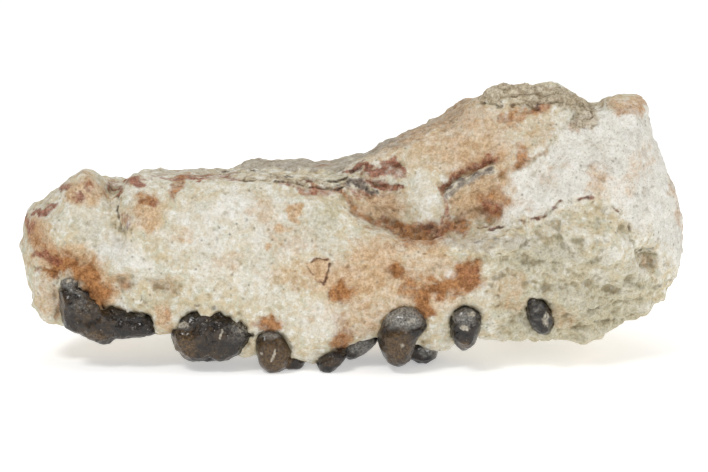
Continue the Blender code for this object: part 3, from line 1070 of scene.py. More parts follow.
@dataclass(frozen=True)
class EnamelFinish:
    """Glossy fossil enamel: dark, mottled, browner where light gets in, with painted glints."""

    name: str
    dark: str = "0f0d0c"
    brown: str = "2d2217"
    # The colour of the painted glints.
    painted_glint: str = "d6d2c8"
    roughness: tuple[float, float] = (0.1, 0.36)
    specular: float = 0.28
    coat: float = 0.45
    coat_roughness: float = 0.08
    grain_height: float = 0.3

    def material(self, effects: SharedEffects) -> bpy.types.Material:
        """Builds the material.

        Args:
            effects: the shared node groups.

        Returns:
            The material, which reads the tooth's amber, steel and fleck attributes.
        """
        made, graph, shader = new_material(self.name)
        place = graph.millimetres()
        clouds = graph.noise(place, 0.7, 5.0, 0.7)
        colour = graph.blend(graph.span(clouds, 0.36, 0.66), tint(self.dark), tint(self.brown))
        for name, look in ENAMEL_TINTS.items():
            deep = graph.span(graph.noise(place, look.size * 2.0, 3.0, 0.7), 0.35, 0.65)
            colour = look.laid(graph, effects.ragged, name, place, deep, colour)
        mottle = graph.noise(place, 2.6, 5.0, 0.85)
        tone = graph.grey(graph.span(mottle, 0.3, 0.72, (0.35, 1.7)))
        chipped_share = graph.span(graph.mask("sparkle"), 0.0, 0.6, (0.35, 1.0))
        colour = graph.blend(chipped_share, colour, graph.blend(1.0, colour, tone, "MULTIPLY"))
        # Painted glints: small bright dots laid into the enamel's colour where the tooth sparkles.
        glint = graph.group(effects.pin_pits, Place=place, Size=3.0, Share=0.3).outputs["Depth"]
        glint = graph.math("MULTIPLY", glint, graph.span(graph.noise(place, 1.5, 2.0), 0.5, 0.64))
        glint = graph.math("MULTIPLY", glint, graph.mask("sparkle"))
        colour = graph.blend(glint, colour, tint(self.painted_glint))
        matt = graph.math("MAXIMUM", graph.span(mottle, 0.35, 0.7, self.roughness),
                          graph.math("MULTIPLY", graph.mask("fleck_and_glint"), 0.7))
        chipped = graph.add("TexVoronoi", {"Vector": place, "Scale": 1.1, "Randomness": 1.0})
        ripple = graph.math("ADD", graph.noise(place, 1.3, 3.0, 0.6),
                            graph.math("MULTIPLY", mottle, 0.3))
        height = graph.math("ADD", ripple, graph.math("MULTIPLY", chipped.outputs["Distance"], 0.5))
        height = graph.math("ADD", height, graph.math("MULTIPLY", graph.noise(place, 3.2, 2.0), 0.25))
        bump = graph.add("Bump", {"Height": height, "Distance": self.grain_height * MM, "Strength": 0.6})
        graph.fill(shader, {"Base Color": colour, "Roughness": matt, "Normal": bump.outputs["Normal"],
                            "Specular IOR Level": self.specular, "Coat Weight": self.coat,
                            "Coat Roughness": self.coat_roughness})
        return made


# The tints of the enamel, in the order in which they lie on each other: amber, a painted sheen that
# stands for reflected light, and pale flecks that are partly painted glints.
ENAMEL_TINTS = {
    "amber": StainLook("6e5431", "3a2a17", 1.2, 1.9, 0.85),
    "painted_sheen": StainLook("a9a69e", "5d5a55", 1.4, 1.9, 0.88),
    "fleck_and_glint": StainLook("ddd8cb", "a2967f", 2.6, 1.9, 0.9),
}


# ---------------------------------------------------------------- bone and rock


@dataclass(frozen=True)
class Crumb:
    """A crumb of matrix that clings to a tooth: its pixel, its half sizes in mm and its turn."""

    u: float
    v: float
    half_x: float
    half_z: float
    turn: float = 0.0
    half_y: float = 0.6

    def build(self, jaw: BVHTree) -> bpy.types.Object:
        """Makes the crumb as a flattened ball that sits on what shows at its pixel.

        Args:
            jaw: the search tree of the whole jaw, in metres.

        Returns:
            The crumb.
        """
        place = PHOTO.place_at(jaw, self.u, self.v)
        bpy.ops.object.select_all(action="DESELECT")
        bpy.ops.mesh.primitive_ico_sphere_add(subdivisions=3, radius=1.0, location=(0, 0, 0))
        crumb = bpy.context.object
        turned = Matrix.Rotation(math.radians(self.turn), 4, "Y")
        sizes = Matrix.Diagonal((self.half_x * MM, self.half_y * MM, self.half_z * MM, 1.0))
        crumb.data.transform(Matrix.Translation(place) @ turned @ sizes)
        return crumb


@dataclass
class JawAndRock:
    """The bone and the rock that it is bedded in, carved as one skin and then parted."""

    tooth_shrink: float = 0.5
    closing: float = 0.45
    swell: float = 0.2
    first_voxel: float = 0.32
    voxel: float = 0.5
    smoothing: int = 2
    near_y: tuple[float, float] = (8.0, 2.0)
    tooth_clearance: tuple[float, float] = (0.3, 1.4)
    faces_kept: float = 0.93
    socket_press: float = 0.04
    socket_faces_kept: float = 0.25
    film: float = 0.45
    bared_gap: float = 0.3
    zone_wander: float = 6.0
    stain_wander: float = 7.0
    near_enough: float = 0.02

    def build(self, bone_finish: bpy.types.Material, rock_finish: bpy.types.Material,
              crowns: list[bpy.types.Object]) -> None:
        """Builds both pieces and hangs them on the frame.

        Args:
            bone_finish: the material of the bone.
            rock_finish: the material of the rock.
            crowns: the finished teeth, which leave their sockets in the skin.
        """
        skin = self.fused_skin()
        self.carve(skin)
        self.refine_near_side(skin)
        self.roughen(skin)
        self.engrave(skin)
        self.uncover(skin, crowns)
        self.paint(skin)
        self.thin_far_side(skin)
        self.cut_sockets(skin, crowns)
        rock = twin_of(skin, "rock_around_jaw")
        skin.name = skin.data.name = "weathered_bone"
        wall = PartingWall().build()
        cut(skin, wall, "DIFFERENCE")
        cut(rock, wall, "INTERSECT")
        bpy.data.objects.remove(wall, do_unlink=True)
        attach(skin, "bone", bone_finish, "jaw_bone")
        attach(rock, "rock", rock_finish, "rock_matrix")

    def fused_skin(self) -> bpy.types.Object:
        """Joins bone, rock, crumbs and shrunk teeth, closes the gaps between them and smooths.

        Returns:
            The skin, as one closed mesh.
        """
        parts = [copy_of("jaw_bone", "fused_skin"), copy_of("rock_matrix", "rock_copy")]
        parts += self.crumbs()
        for each in parts:
            grow(each, self.closing)
        for number in range(1, len(TEETH) + 1):
            core = copy_of(f"tooth_{number}", "tooth_core")
            grow(core, self.closing - self.tooth_shrink)
            parts.append(core)
        pick(*parts)
        bpy.ops.object.join()
        skin = parts[0]
        apply(skin, "REMESH", mode="VOXEL", voxel_size=self.first_voxel * MM)
        grow(skin, self.swell - self.closing)
        apply(skin, "REMESH", mode="VOXEL", voxel_size=self.voxel * MM)
        apply(skin, "SMOOTH", factor=0.5, iterations=self.smoothing)
        return skin

    def crumbs(self) -> list[bpy.types.Object]:
        """Makes the crumbs of matrix that cling to the teeth.

        Returns:
            The crumbs, each a closed mesh.
        """
        whole = bmesh.new()
        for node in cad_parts.values():
            whole.from_mesh(node.data)
        jaw = BVHTree.FromBMesh(whole)
        whole.free()
        return [crumb.build(jaw) for crumb in CRUMBS]

    def near_side(self, points: np.ndarray, normals: np.ndarray) -> np.ndarray:
        """How surely each point belongs to the side that the photograph shows, from 0 to 1."""
        start, full = self.near_y
        return PHOTO.facing(normals) * ease((points[:, 1] - start) / (full - start))

    def held_back(self, points: np.ndarray, least: float) -> np.ndarray:
        """The share of its relief that each point gets: all of it, or the least beside teeth."""
        return least + (1 - least) * self.clear_of_teeth(points)

    def clear_of_teeth(self, points: np.ndarray) -> np.ndarray:
        """How far each point is from the teeth: 0 beside them, 1 where relief may be full.

        Args:
            points: rows of x, y, z in millimetres.

        Returns:
            One value for each row.
        """
        teeth = [node for name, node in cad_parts.items() if name.startswith("tooth")]
        places = [vert.co for node in teeth for vert in node.data.vertices]
        tree = near_tree(places)
        low, high = self.tooth_clearance
        free = np.ones(len(points))
        reach = (np.array(places).min(axis=0) / MM - 3, np.array(places).max(axis=0) / MM + 3)
        beside = np.where(np.all((points > reach[0]) & (points < reach[1]), axis=1))[0]
        away = np.array([tree.find(Vector(points[i] * MM))[2] for i in beside]) / MM
        free[beside] = ease((away - low) / (high - low))
        return free

    def wobble(self, points: np.ndarray) -> np.ndarray:
        """How far carved lines and cracks stray from their drawn course, in pixels."""
        return 3.0 * noise_columns(points, 2.6, 1, 3, 4) + 1.5 * noise_columns(points, 0.8, 1, 35, 36)

    def broken(self, points: np.ndarray) -> np.ndarray:
        """Where thin cracks open and close along their course, from 0 to 1."""
        return ease(0.55 + 1.5 * layered_noise(points / 1.6, 2, 30))

    def press(self, skin: bpy.types.Object, forms: tuple) -> None:
        """Raises and lowers the near side of the skin by these forms, shown by pixel.

        Args:
            skin: the skin.
            forms: each form's rise in millimetres and its mark.
        """
        points, normals = points_of(skin), normals_of(skin)
        at = PHOTO.pixels(points) + self.wobble(points)
        broken = self.broken(points)
        rise = np.zeros(len(points))
        for height, mark in forms:
            rise += height * cover_of(mark, at) * (broken if is_crack(mark) else 1.0)
        rise *= self.near_side(points, normals) * self.held_back(points, 0.15)
        set_points(skin, points + normals * rise[:, None])

    def carve(self, skin: bpy.types.Object) -> None:
        """Carves the larger forms of the near side into the skin."""
        self.press(skin, CARVINGS)
        apply(skin, "SMOOTH", factor=0.5, iterations=1)

    def refine_near_side(self, skin: bpy.types.Object) -> None:
        """Halves the faces of the near side, so that it can take finer relief.

        Args:
            skin: the skin.
        """
        near = self.near_side(points_of(skin), normals_of(skin)) > self.near_enough
        corners = np.empty(len(skin.data.loops), np.int32)
        skin.data.loops.foreach_get("vertex_index", corners)
        starts = np.empty(len(skin.data.polygons), np.int32)
        skin.data.polygons.foreach_get("loop_start", starts)
        pick(skin)
        bpy.ops.object.mode_set(mode="EDIT")
        bpy.ops.mesh.select_mode(type="FACE")
        bpy.ops.mesh.select_all(action="DESELECT")
        bpy.ops.object.mode_set(mode="OBJECT")
        skin.data.polygons.foreach_set("select", np.logical_and.reduceat(near[corners], starts))
        bpy.ops.object.mode_set(mode="EDIT")
        bpy.ops.mesh.subdivide(number_cuts=1)
        bpy.ops.object.mode_set(mode="OBJECT")
        near = self.near_side(points_of(skin), normals_of(skin)) > self.near_enough
        group = skin.vertex_groups.new(name="near")
        group.add(np.where(near)[0].tolist(), 1.0, "REPLACE")
        apply(skin, "SMOOTH", factor=0.5, iterations=2, vertex_group="near")
        skin.vertex_groups.clear()

    def roughen(self, skin: bpy.types.Object) -> None:
        """Gives each zone of the skin its own unevenness: craggy, pitted or worn smooth.

        Args:
            skin: the skin.
        """
        points, normals = points_of(skin), normals_of(skin)
        near = self.near_side(points, normals)
        at = PHOTO.pixels(points) + self.zone_wander * noise_columns(points, 5.0, 2, 5, 6)
        craggy = near * cover_of(CRAGGY_ZONE, at) + 0.85 * (1 - near)
        worn = near * np.maximum(cover_of(CHEEK_ZONE, at), 0.8 * cover_of(WHITE_ZONE, at))
        rugged = 1 + 1.3 * cover_of(WHITE_ZONE, at)
        pitted = np.clip(1 - craggy - worn, 0, 1)
        rise = craggy * self.crags(points) + pitted * self.weathering(points)
        rise += worn * rugged * self.wear(points)
        rise += near * self.crusty(at) * self.flaking(points)
        rise *= self.held_back(points, 0.12)
        set_points(skin, points + normals * rise[:, None])

    def crags(self, points: np.ndarray) -> np.ndarray:
        """The relief of the crumbling rock: beds that stand out, lumps, crumbs and a few pits.

        Args:
            points: rows of x, y, z in millimetres.

        Returns:
            The rise of each row, in millimetres.
        """
        bedded = points * np.array([1.0, 1.0, 1.35])
        bedded += 0.9 * noise_columns(points, 3.0, 1, 23, 24, 25)
        gate = ease(0.4 + 0.9 * soft_noise(points / 7.0, 26))
        rise = 0.6 * layered_noise(bedded / 5.0, 2, 11) + 0.16 * gate * terraces(points, 3.0, 27)
        rise += 0.6 * layered_noise(bedded / 3.0, 2, 12, 0.5) + 0.14 * ridges(bedded / 2.6, 2, 31)
        rise += 0.2 * layered_noise(points / 1.3, 2, 28, 0.6)
        return rise - 0.12 * pits(bedded, 4.4, 0.12, 13) - 0.12 * pits(points, 1.6, 0.1, 14)

    def wear(self, points: np.ndarray) -> np.ndarray:
        """The relief of the worn faces: low swells and a few small pits."""
        swells = 0.26 * layered_noise(points / 3.6, 2, 18, 0.6)
        return swells - 0.15 * pits(points, 2.0, 0.12, 19) + 0.1 * layered_noise(points / 1.3, 2, 34)

    def weathering(self, points: np.ndarray) -> np.ndarray:
        """The relief of the weathered bone: low swells, fine roughness and small pits.

        Args:
            points: rows of x, y, z in millimetres.

        Returns:
            The rise of each row, in millimetres.
        """
        rise = 0.2 * layered_noise(points / 3.6, 2, 15, 0.6)
        rise += 0.13 * layered_noise(points / 1.5, 2, 20, 0.6)
        rise += 0.05 * layered_noise(points / 0.6, 1, 29)
        return rise - 0.26 * pits(points, 2.6, 0.14, 16) - 0.18 * pits(points, 1.2, 0.1, 17)

    def crusty(self, at: np.ndarray) -> np.ndarray:
        """Where the dark crusts lie, from 0 to 1."""
        return np.maximum(cover_of(Patch(TOP_CRUST, 4.0), at), cover_of(Patch(REAR_CRUST, 4.0), at))

    def seams(self, points: np.ndarray) -> np.ndarray:
        """The thin cracks between the plates of the crusts, 1 in their middle.

        Args:
            points: rows of x, y, z in millimetres.

        Returns:
            One value for each row.
        """
        plates = points * np.array([0.7, 1.0, 1.5]) / 2.4
        plates += 0.3 * noise_columns(points, 1.1, 1, 37, 38, 39)
        return 1 - ease(np.abs(soft_noise(plates, 32)) / 0.16)

    def flaking(self, points: np.ndarray) -> np.ndarray:
        """The relief of the dark crusts: low plates with cracks between them."""
        return 0.3 * layered_noise(points / 2.6, 2, 31, 0.6) - 0.35 * self.seams(points)

    def uncover(self, skin: bpy.types.Object, crowns: list[bpy.types.Object]) -> None:
        """Sinks the thin film of skin that hides a tooth from in front, so that the tooth shows.

        Args:
            skin: the skin.
            crowns: the finished teeth.
        """
        points, normals = points_of(skin), normals_of(skin)
        facing = self.near_side(points, normals)
        at = PHOTO.pixels(points) + 0.5 * self.wobble(points)
        reach = np.full(len(points), self.film)
        for depth, outline in BARED:
            reach = np.maximum(reach, depth * cover_of(Patch(outline, 1.5), at))
        sunk = np.zeros((len(points), 1))
        inward = Vector(-PHOTO.back)
        near = np.where((self.clear_of_teeth(points) < 0.95) & (facing > 0.1))[0]
        for crown in crowns:
            tree = BVHTree.FromObject(crown, bpy.context.evaluated_depsgraph_get())
            for i in near:
                _, _, _, away = tree.ray_cast(Vector(points[i] * MM), inward, reach[i] * MM)
                if away is not None:
                    sunk[i] = max(sunk[i, 0], away / MM + self.bared_gap)
        set_points(skin, points - PHOTO.back * spread(skin, sunk, 2))

    def engrave(self, skin: bpy.types.Object) -> None:
        """Cuts the thin cracks and rims of the near side."""
        self.press(skin, CRACKS)

    def paint(self, skin: bpy.types.Object) -> None:
        """Writes how strongly each stain shows at each point of the skin.

        Args:
            skin: the finished skin.
        """
        points, normals = points_of(skin), normals_of(skin)
        near = self.near_side(points, normals)
        pixels = PHOTO.pixels(points)
        wide = pixels + self.stain_wander * noise_columns(points, 2.4, 4, 21, 22)
        thin = pixels + self.wobble(points)
        broken = self.broken(points)
        cracked = self.crusty(pixels) * self.seams(points)
        splinters = [Streak(line, 3.2) for line in (LEFT_SPLINTER, RIGHT_SPLINTER)]
        clean = np.maximum(*[cover_of(splinter, thin) for splinter in splinters])
        for number, stain in enumerate(Stain):
            bare = 1 - cracked if stain is Stain.CHAR else np.ones(len(points))
            for strength, mark in of_strength(MARKS[stain]):
                cover = strength * cover_of(mark, thin if mark.fine else wide)
                bare *= 1 - cover * (broken if is_crack(mark) else 1.0)
            if stain in (Stain.TAN, Stain.RUST, Stain.WINE):
                bare = 1 - (1 - bare) * (1 - 0.85 * clean)
            size, start, top = WILD_STAINS[stain]
            wild = layered_noise(points / size, 3, 40 + number)
            elsewhere = top * ease((wild - start) / 0.35)
            set_mask(skin, stain.value, near * (1 - bare) + (1 - near) * elsewhere)
        set_mask(skin, "hollow", self.dirt_and_shade_traps(skin, near))

    def dirt_and_shade_traps(self, skin: bpy.types.Object, near: np.ndarray) -> np.ndarray:
        """Finds where dirt and painted shade gather, in hollows and close beside the teeth, and where
        ridges are rubbed clean and take painted highlight.

        Args:
            skin: the finished skin.
            near: how surely each point belongs to the near side.

        Returns:
            A value from -1 on ridges to 1 in hollows and close beside the teeth.
        """
        hollows = 0.45 * hollows_of(skin, 3, 0.07) + 0.75 * hollows_of(skin, 16, 0.6)
        # Painted contact shade: the skin close beside the teeth counts as a deep hollow.
        beside = 0.8 * near * (1 - ease(self.clear_of_teeth(points_of(skin)) / 0.12))
        return np.maximum(np.clip(hollows, -1, 1), beside)

    def thin_far_side(self, skin: bpy.types.Object) -> None:
        """Takes faces out of the side that the photograph doesn't show.

        Args:
            skin: the painted skin.
        """
        near = self.near_side(points_of(skin), normals_of(skin))
        away = skin.vertex_groups.new(name="away")
        away.add(np.where(near < self.near_enough)[0].tolist(), 1.0, "REPLACE")
        before = len(skin.data.polygons)
        full = twin_of(skin, "full_skin")
        apply(skin, "DECIMATE", ratio=self.faces_kept, vertex_group="away", vertex_group_factor=10.0)
        apply(skin, "SHRINKWRAP", target=full, wrap_method="NEAREST_SURFACEPOINT")
        bpy.data.objects.remove(full, do_unlink=True)
        skin.vertex_groups.clear()
        LOG.info("skin: %d faces, thinned to %d", before, len(skin.data.polygons))

    def cut_sockets(self, skin: bpy.types.Object, crowns: list[bpy.types.Object]) -> None:
        """Cuts away what the teeth fill, so that each one sits tight in the skin.

        Args:
            skin: the painted skin.
            crowns: the finished teeth.
        """
        copies = [twin_of(crown, "socket_cutter") for crown in crowns]
        for each in copies:
            grow(each, -self.socket_press)
        pick(*copies)
        bpy.ops.object.join()
        apply(copies[0], "DECIMATE", ratio=self.socket_faces_kept)
        cut(skin, copies[0], "DIFFERENCE")
        bpy.data.objects.remove(copies[0], do_unlink=True)


@dataclass
class PartingWall:
    """The wall between bone and rock, as the solid model has it, filled back to the far side."""

    shift: tuple[float, float] = (0.15, -1.43)
    seam: tuple = ((25.4, -8), (34.6, 2), (34.0, 8), (31.6, 13.5), (28.0, 19.0), (24.6, 22.0),
                   (24.4, 30.0), (28.2, 33.2), (31.4, 36.6), (34.2, 40.0), (37.5, 50))
    turn: float = 5.0
    levels: tuple[float, float] = (6.0, 32.0)
    depths: tuple[float, float] = (-1.0, -6.8)
    front: float = -26.0
    back: float = 45.0
    length: float = 136.0
    height: float = 62.0
    middle: float = 22.0
    columns: int = 42
    rows: int = 20
    wave: float = 0.9
    wave_length: float = 9.0

    def depth(self, x: float, z: float) -> float:
        """The wall's y at this place: upright behind the bone, turned out past its rear end.

        Args:
            x: along the jaw, in millimetres.
            z: up, in millimetres.

        Returns:
            The wall's y, in millimetres.
        """
        level = (z - self.levels[0]) / (self.levels[1] - self.levels[0])
        behind = self.depths[0] + (self.depths[1] - self.depths[0]) * float(ease(level))
        behind += self.wave * noise.noise(Vector((x, 0, z)) / self.wave_length)
        knots = np.array(self.seam)
        past = x - float(np.interp(z, knots[:, 1], knots[:, 0]))
        turned = float(ease((past + self.turn) / (2 * self.turn)))
        return behind + (self.front - behind) * turned

    def build(self) -> bpy.types.Object:
        """Builds the cutter: a bent sheet, extruded to behind the jaw.

        Returns:
            The cutter, as a closed mesh.
        """
        bpy.ops.object.select_all(action="DESELECT")
        bpy.ops.mesh.primitive_grid_add(x_subdivisions=self.columns, y_subdivisions=self.rows, size=1)
        wall = bpy.context.object
        wall.name = "parting_wall"
        for vert in wall.data.vertices:
            x, z = vert.co.x * self.length, self.middle + vert.co.y * self.height
            place = (x + self.shift[0], self.depth(x, z) + self.shift[1], z)
            vert.co = [value * MM for value in place]
        bpy.ops.object.mode_set(mode="EDIT")
        bpy.ops.mesh.select_all(action="SELECT")
        bpy.ops.mesh.quads_convert_to_tris()
        bpy.ops.mesh.extrude_region_move()
        bpy.ops.object.mode_set(mode="OBJECT")
        for vert in wall.data.vertices:
            if vert.select:
                vert.co.y = self.back * MM
        bpy.ops.object.mode_set(mode="EDIT")
        bpy.ops.mesh.select_all(action="SELECT")
        bpy.ops.mesh.normals_make_consistent(inside=False)
        bpy.ops.object.mode_set(mode="OBJECT")
        return wall


# Crumbs of matrix on the teeth.
CRUMBS = (
    Crumb(119, 316, 1.7, 0.45, 8.0, 0.4),
    Crumb(180, 320, 1.3, 0.8, -20.0, 0.45),
    Crumb(248, 350, 0.8, 1.0, 10.0, 0.4),
)

# Where the skin sinks far enough to bare a tooth, as the depth in millimetres and the outline.
BARED = (
    (1.8, ((101, 303), (112, 306), (126, 310), (140, 312), (153, 312), (155, 332), (104, 332))),
    (2.8, ((186, 312), (203, 309), (222, 308), (241, 317), (253, 327), (254, 337), (188, 337))),
    (1.5, ((256, 333), (270, 329), (284, 331), (292, 342), (291, 362), (257, 362))),
    (1.2, ((381, 322), (384, 306), (396, 302), (414, 302), (428, 311), (427, 324), (412, 332))),
    (1.5, ((448, 306), (456, 302), (478, 303), (484, 316), (478, 326), (450, 326))),
    (2.5, ((523, 283), (533, 284), (544, 294), (552, 310), (550, 326), (528, 320))),
)

# Zones of the near side.
CRAGGY_ZONE = Patch(((462, 262), (500, 232), (548, 222), (600, 200), (625, 218), (645, 236), (668, 250),
                     (672, 300), (640, 360), (500, 350), (486, 300)), 16.0)
CHEEK_ZONE = Patch(((345, 165), (405, 130), (468, 92), (560, 118), (545, 148), (518, 165), (508, 200),
                    (440, 175), (400, 168)), 10.0)
WHITE_ZONE = Patch(((500, 175), (545, 150), (575, 110), (660, 100), (690, 240), (640, 235), (600, 195),
                    (540, 218), (505, 225)), 14.0)

# Lines and outlines that more than one mark follows, or that are long.
TOP_CRACK = ((222, 172), (233, 170), (243, 172), (256, 171), (270, 175), (286, 177), (300, 179),
             (330, 181), (346, 178))
LOWER_CRACK = ((240, 180), (262, 181), (282, 181), (300, 183), (312, 187), (323, 190), (336, 190),
               (346, 184), (352, 179))
ROCK_CRACK = ((478, 228), (495, 229), (511, 228), (524, 223), (532, 219), (545, 216), (553, 209),
              (561, 203), (580, 199), (598, 194))
REAR_CRACK = ((604, 198), (612, 207), (621, 216), (628, 226), (633, 240))
EDGE_LINE = ((500, 177), (520, 167), (544, 152), (556, 136), (575, 116))
FAR_STRIP = ((345, 164), (352, 155), (400, 128), (462, 90), (478, 96), (470, 104), (450, 127),
             (400, 146))
ROUGH_ROCK = ((500, 240), (560, 235), (640, 262), (665, 300), (640, 330), (560, 345), (505, 335),
              (515, 290))
SHORT_CRACK = ((588, 264), (584, 272), (581, 281))
REAR_NICK = ((675, 276), (664, 286), (654, 289))
# Grooves under two overhanging ledges, darkened with painted shade by olive and char.
UPPER_LEDGE = ((590, 310), (606, 306), (622, 300), (640, 300))
LOWER_LEDGE = ((575, 327), (600, 321), (620, 320), (642, 316))
DIAMOND = ((306, 264), (311, 262), (318, 257), (331, 260), (328, 272), (322, 285), (317, 281),
           (310, 272))
DIAMOND_RIM = (*DIAMOND, DIAMOND[0])
RED_CREASE = ((350, 172), (363, 168), (376, 169), (399, 165))
RED_LINE = ((376, 185), (388, 187), (402, 187))
LEFT_SPLINTER = ((349, 182), (362, 186), (378, 192))
LEFT_SPLINTER_EDGE = ((349, 178), (363, 182), (378, 189))
RIGHT_SPLINTER = ((447, 196), (457, 184), (475, 176), (494, 169))
RIGHT_SPLINTER_EDGE = ((447, 201), (463, 191), (478, 184), (495, 175))
BROWN_DIAGONAL = ((343, 193), (350, 205), (362, 216), (377, 222), (398, 227))
# The band under the cheek's overhang: carved in, then given brown stain and painted shade by rust, wine
# and char.
DARK_BAND = ((406, 231), (430, 231), (460, 227))
TOP_CRUST = ((480, 102), (486, 88), (512, 82), (552, 84), (575, 89), (588, 100), (577, 111),
             (558, 104), (540, 108), (520, 105), (500, 103))
REAR_CRUST = ((563, 103), (585, 102), (598, 112), (600, 124), (588, 130), (570, 126), (575, 114))
ORANGE_CAP = ((600, 103), (618, 95), (642, 95), (650, 104), (645, 116), (632, 119), (612, 112))
# Two recesses above the first gap, carved in and darkened with painted shade by olive and tan.
FIRST_RECESS = ((112, 276), (122, 272), (132, 274), (136, 288), (128, 294), (115, 285))
SECOND_RECESS = ((145, 279), (178, 279), (184, 289), (176, 297), (152, 292))

# The larger forms that are carved into the near side, as a rise in millimetres and where.
CARVINGS = (
    # Top edge
    (0.3, Streak(((232, 176), (256, 176), (290, 180), (318, 184)), 2.6)),
    (-0.5, Streak(((232, 168), (248, 164), (290, 171), (342, 172)), 2.6)), (-0.8, Blot(115, 189, 6, 5)),
    (0.3, Blot(133, 181, 9, 4)),
    # Left end
    (0.4, Blot(47, 283, 9, 8)), (0.35, Blot(50, 301, 8, 8)), (0.4, Blot(47, 318, 9, 8)),
    (0.3, Blot(38, 222, 9, 8)), (-0.3, Blot(40, 240, 10, 10)),
    (0.35, Streak(((60, 263), (76, 267), (90, 279), (98, 296)), 6.0)),
    # Bump behind the arc groove, and the face below it
    (0.4, Blot(145, 212, 20, 22)), (-0.3, Blot(108, 238, 12, 22)), (0.25, Blot(80, 225, 18, 16)),
    # Recesses above the first gap
    (-0.6, Patch(FIRST_RECESS, 3.5)), (-0.55, Patch(SECOND_RECESS, 3.5)), (0.3, Blot(161, 320, 12, 14)),
    # Swells of the long face
    (0.25, Blot(215, 225, 26, 22)), (-0.2, Streak(((200, 262), (222, 276), (242, 292)), 5.0)),
    (0.2, Blot(280, 300, 34, 14)), (0.22, Patch(DIAMOND, 2.5)), (0.3, Blot(350, 272, 11, 10)),
    (-0.35, Blot(341, 292, 8, 9)),
    # Left pocket
    (-0.7, Blot(380, 198, 30, 22, 8, 0.7)), (-0.8, Streak(RED_CREASE, 3.2)),
    (0.65, Streak(LEFT_SPLINTER, 3.6)), (-0.6, Streak(BROWN_DIAGONAL, 4.5)),
    (0.4, Blot(388, 204, 14, 10)), (0.45, Blot(424, 192, 14, 24)),
    # Right pocket
    (-0.7, Blot(476, 200, 32, 20, -8, 0.7)),
    (-0.5, Streak(((444, 190), (455, 178), (472, 169), (493, 163)), 2.6)),
    (0.65, Streak(RIGHT_SPLINTER, 3.4)), (-0.5, Blot(480, 218, 26, 8)),
    (0.35, Blot(474, 203, 20, 6, -12)),
    # Shadowed band and ledge
    (-0.8, Streak(DARK_BAND, 8.0, 0.8)),
    (0.6, Streak(((400, 248), (440, 245), (480, 246), (522, 240)), 5.0)),
    (-0.5, Streak(((446, 258), (480, 258), (522, 259)), 5.5, 0.9)),
    (-0.3, Streak(((497, 229), (520, 225)), 2.6)), (0.6, Blot(451, 275, 6, 6)),
    (-0.5, Blot(468, 280, 13, 12)), (-0.35, Blot(395, 271, 10, 7)), (-0.35, Blot(440, 288, 12, 6)),
    (0.3, Blot(415, 262, 16, 8)),
    # Rock behind the cheek
    (-1.3, Patch(((637, 250), (655, 248), (657, 265), (640, 267)), 3.5)),
    (0.35, Streak(((659, 246), (660, 268)), 3.0)), (-0.3, Streak(EDGE_LINE, 3.0)),
    (0.4, Blot(560, 168, 24, 12, -35)), (-0.3, Streak(((592, 150), (600, 190)), 6.0)),
    (0.35, Blot(625, 170, 14, 22)), (-0.25, Blot(525, 200, 14, 8, -20)),
    (-0.6, Streak(UPPER_LEDGE, 3.0)), (-0.7, Streak(LOWER_LEDGE, 3.0)),
    (-0.6, Streak(((606, 290), (622, 291), (642, 296), (655, 289)), 3.0)),
    (0.5, Blot(598, 277, 12, 8, 20)), (0.5, Blot(646, 308, 12, 6, 20)), (0.45, Blot(628, 268, 9, 7)),
    (-0.6, Blot(630, 278, 7, 5)), (-0.6, Blot(600, 226, 10, 7, 20)), (-0.5, Blot(578, 241, 7, 5)),
    (-0.5, Streak(((555, 228), (560, 244), (572, 256)), 3.0)), (0.5, Blot(587, 243, 7, 8)),
    (0.45, Blot(612, 252, 12, 9)), (-0.55, Blot(626, 230, 6, 10, -20)), (-0.5, Blot(646, 285, 10, 5)),
    (-0.5, Streak(((500, 262), (530, 262), (560, 264)), 3.0)), (0.4, Blot(560, 300, 16, 9)),
    (-0.45, Blot(592, 262, 8, 4)), (0.4, Blot(575, 318, 14, 8)),
    # Crusts on top
    (0.6, Patch(TOP_CRUST, 2.5)), (0.45, Patch(REAR_CRUST, 3.0)), (0.5, Patch(ORANGE_CAP, 3.0)),
    (-0.6, Blot(596, 107, 6, 6)),
)

# Thin cracks and rims, cut once the faces are fine enough for them.
CRACKS = (
    (-0.42, Streak(TOP_CRACK, 1.4)), (-0.4, Streak(LOWER_CRACK, 1.4)),
    (-0.28, Streak(((118, 196), (117, 212), (119, 228), (129, 241)), 1.8)),
    (0.14, Streak(((114, 196), (113, 212), (115, 228)), 2.2)), (-0.2, Streak(DIAMOND_RIM, 1.2)),
    (-0.3, Streak(((376, 184), (388, 186), (402, 186)), 1.5)), (0.2, Streak(LEFT_SPLINTER_EDGE, 1.2)),
    (0.2, Streak(RIGHT_SPLINTER_EDGE, 1.2)),
    (-0.3, Streak(((448, 204), (464, 194), (480, 187), (496, 178)), 1.4)),
    (-0.3, Streak(ROCK_CRACK, 1.3)), (-0.26, Streak(REAR_CRACK, 1.2)),
    (-0.15, Streak(SHORT_CRACK, 1.2)), (-0.3, Streak(REAR_NICK, 1.6)),
    (-0.3, Streak(((28, 264), (42, 269), (56, 271)), 1.8)),
    (-0.2, Streak(((59, 270), (55, 284), (57, 300), (54, 316)), 1.8)),
    (-0.25, Streak(((452, 112), (460, 108), (466, 110)), 1.4)),
    (-0.3, Streak(((480, 104), (500, 106), (516, 104), (540, 109)), 1.6)),
    (-0.14, Streak(((350, 165), (400, 146), (450, 128), (470, 106)), 1.4)),
)

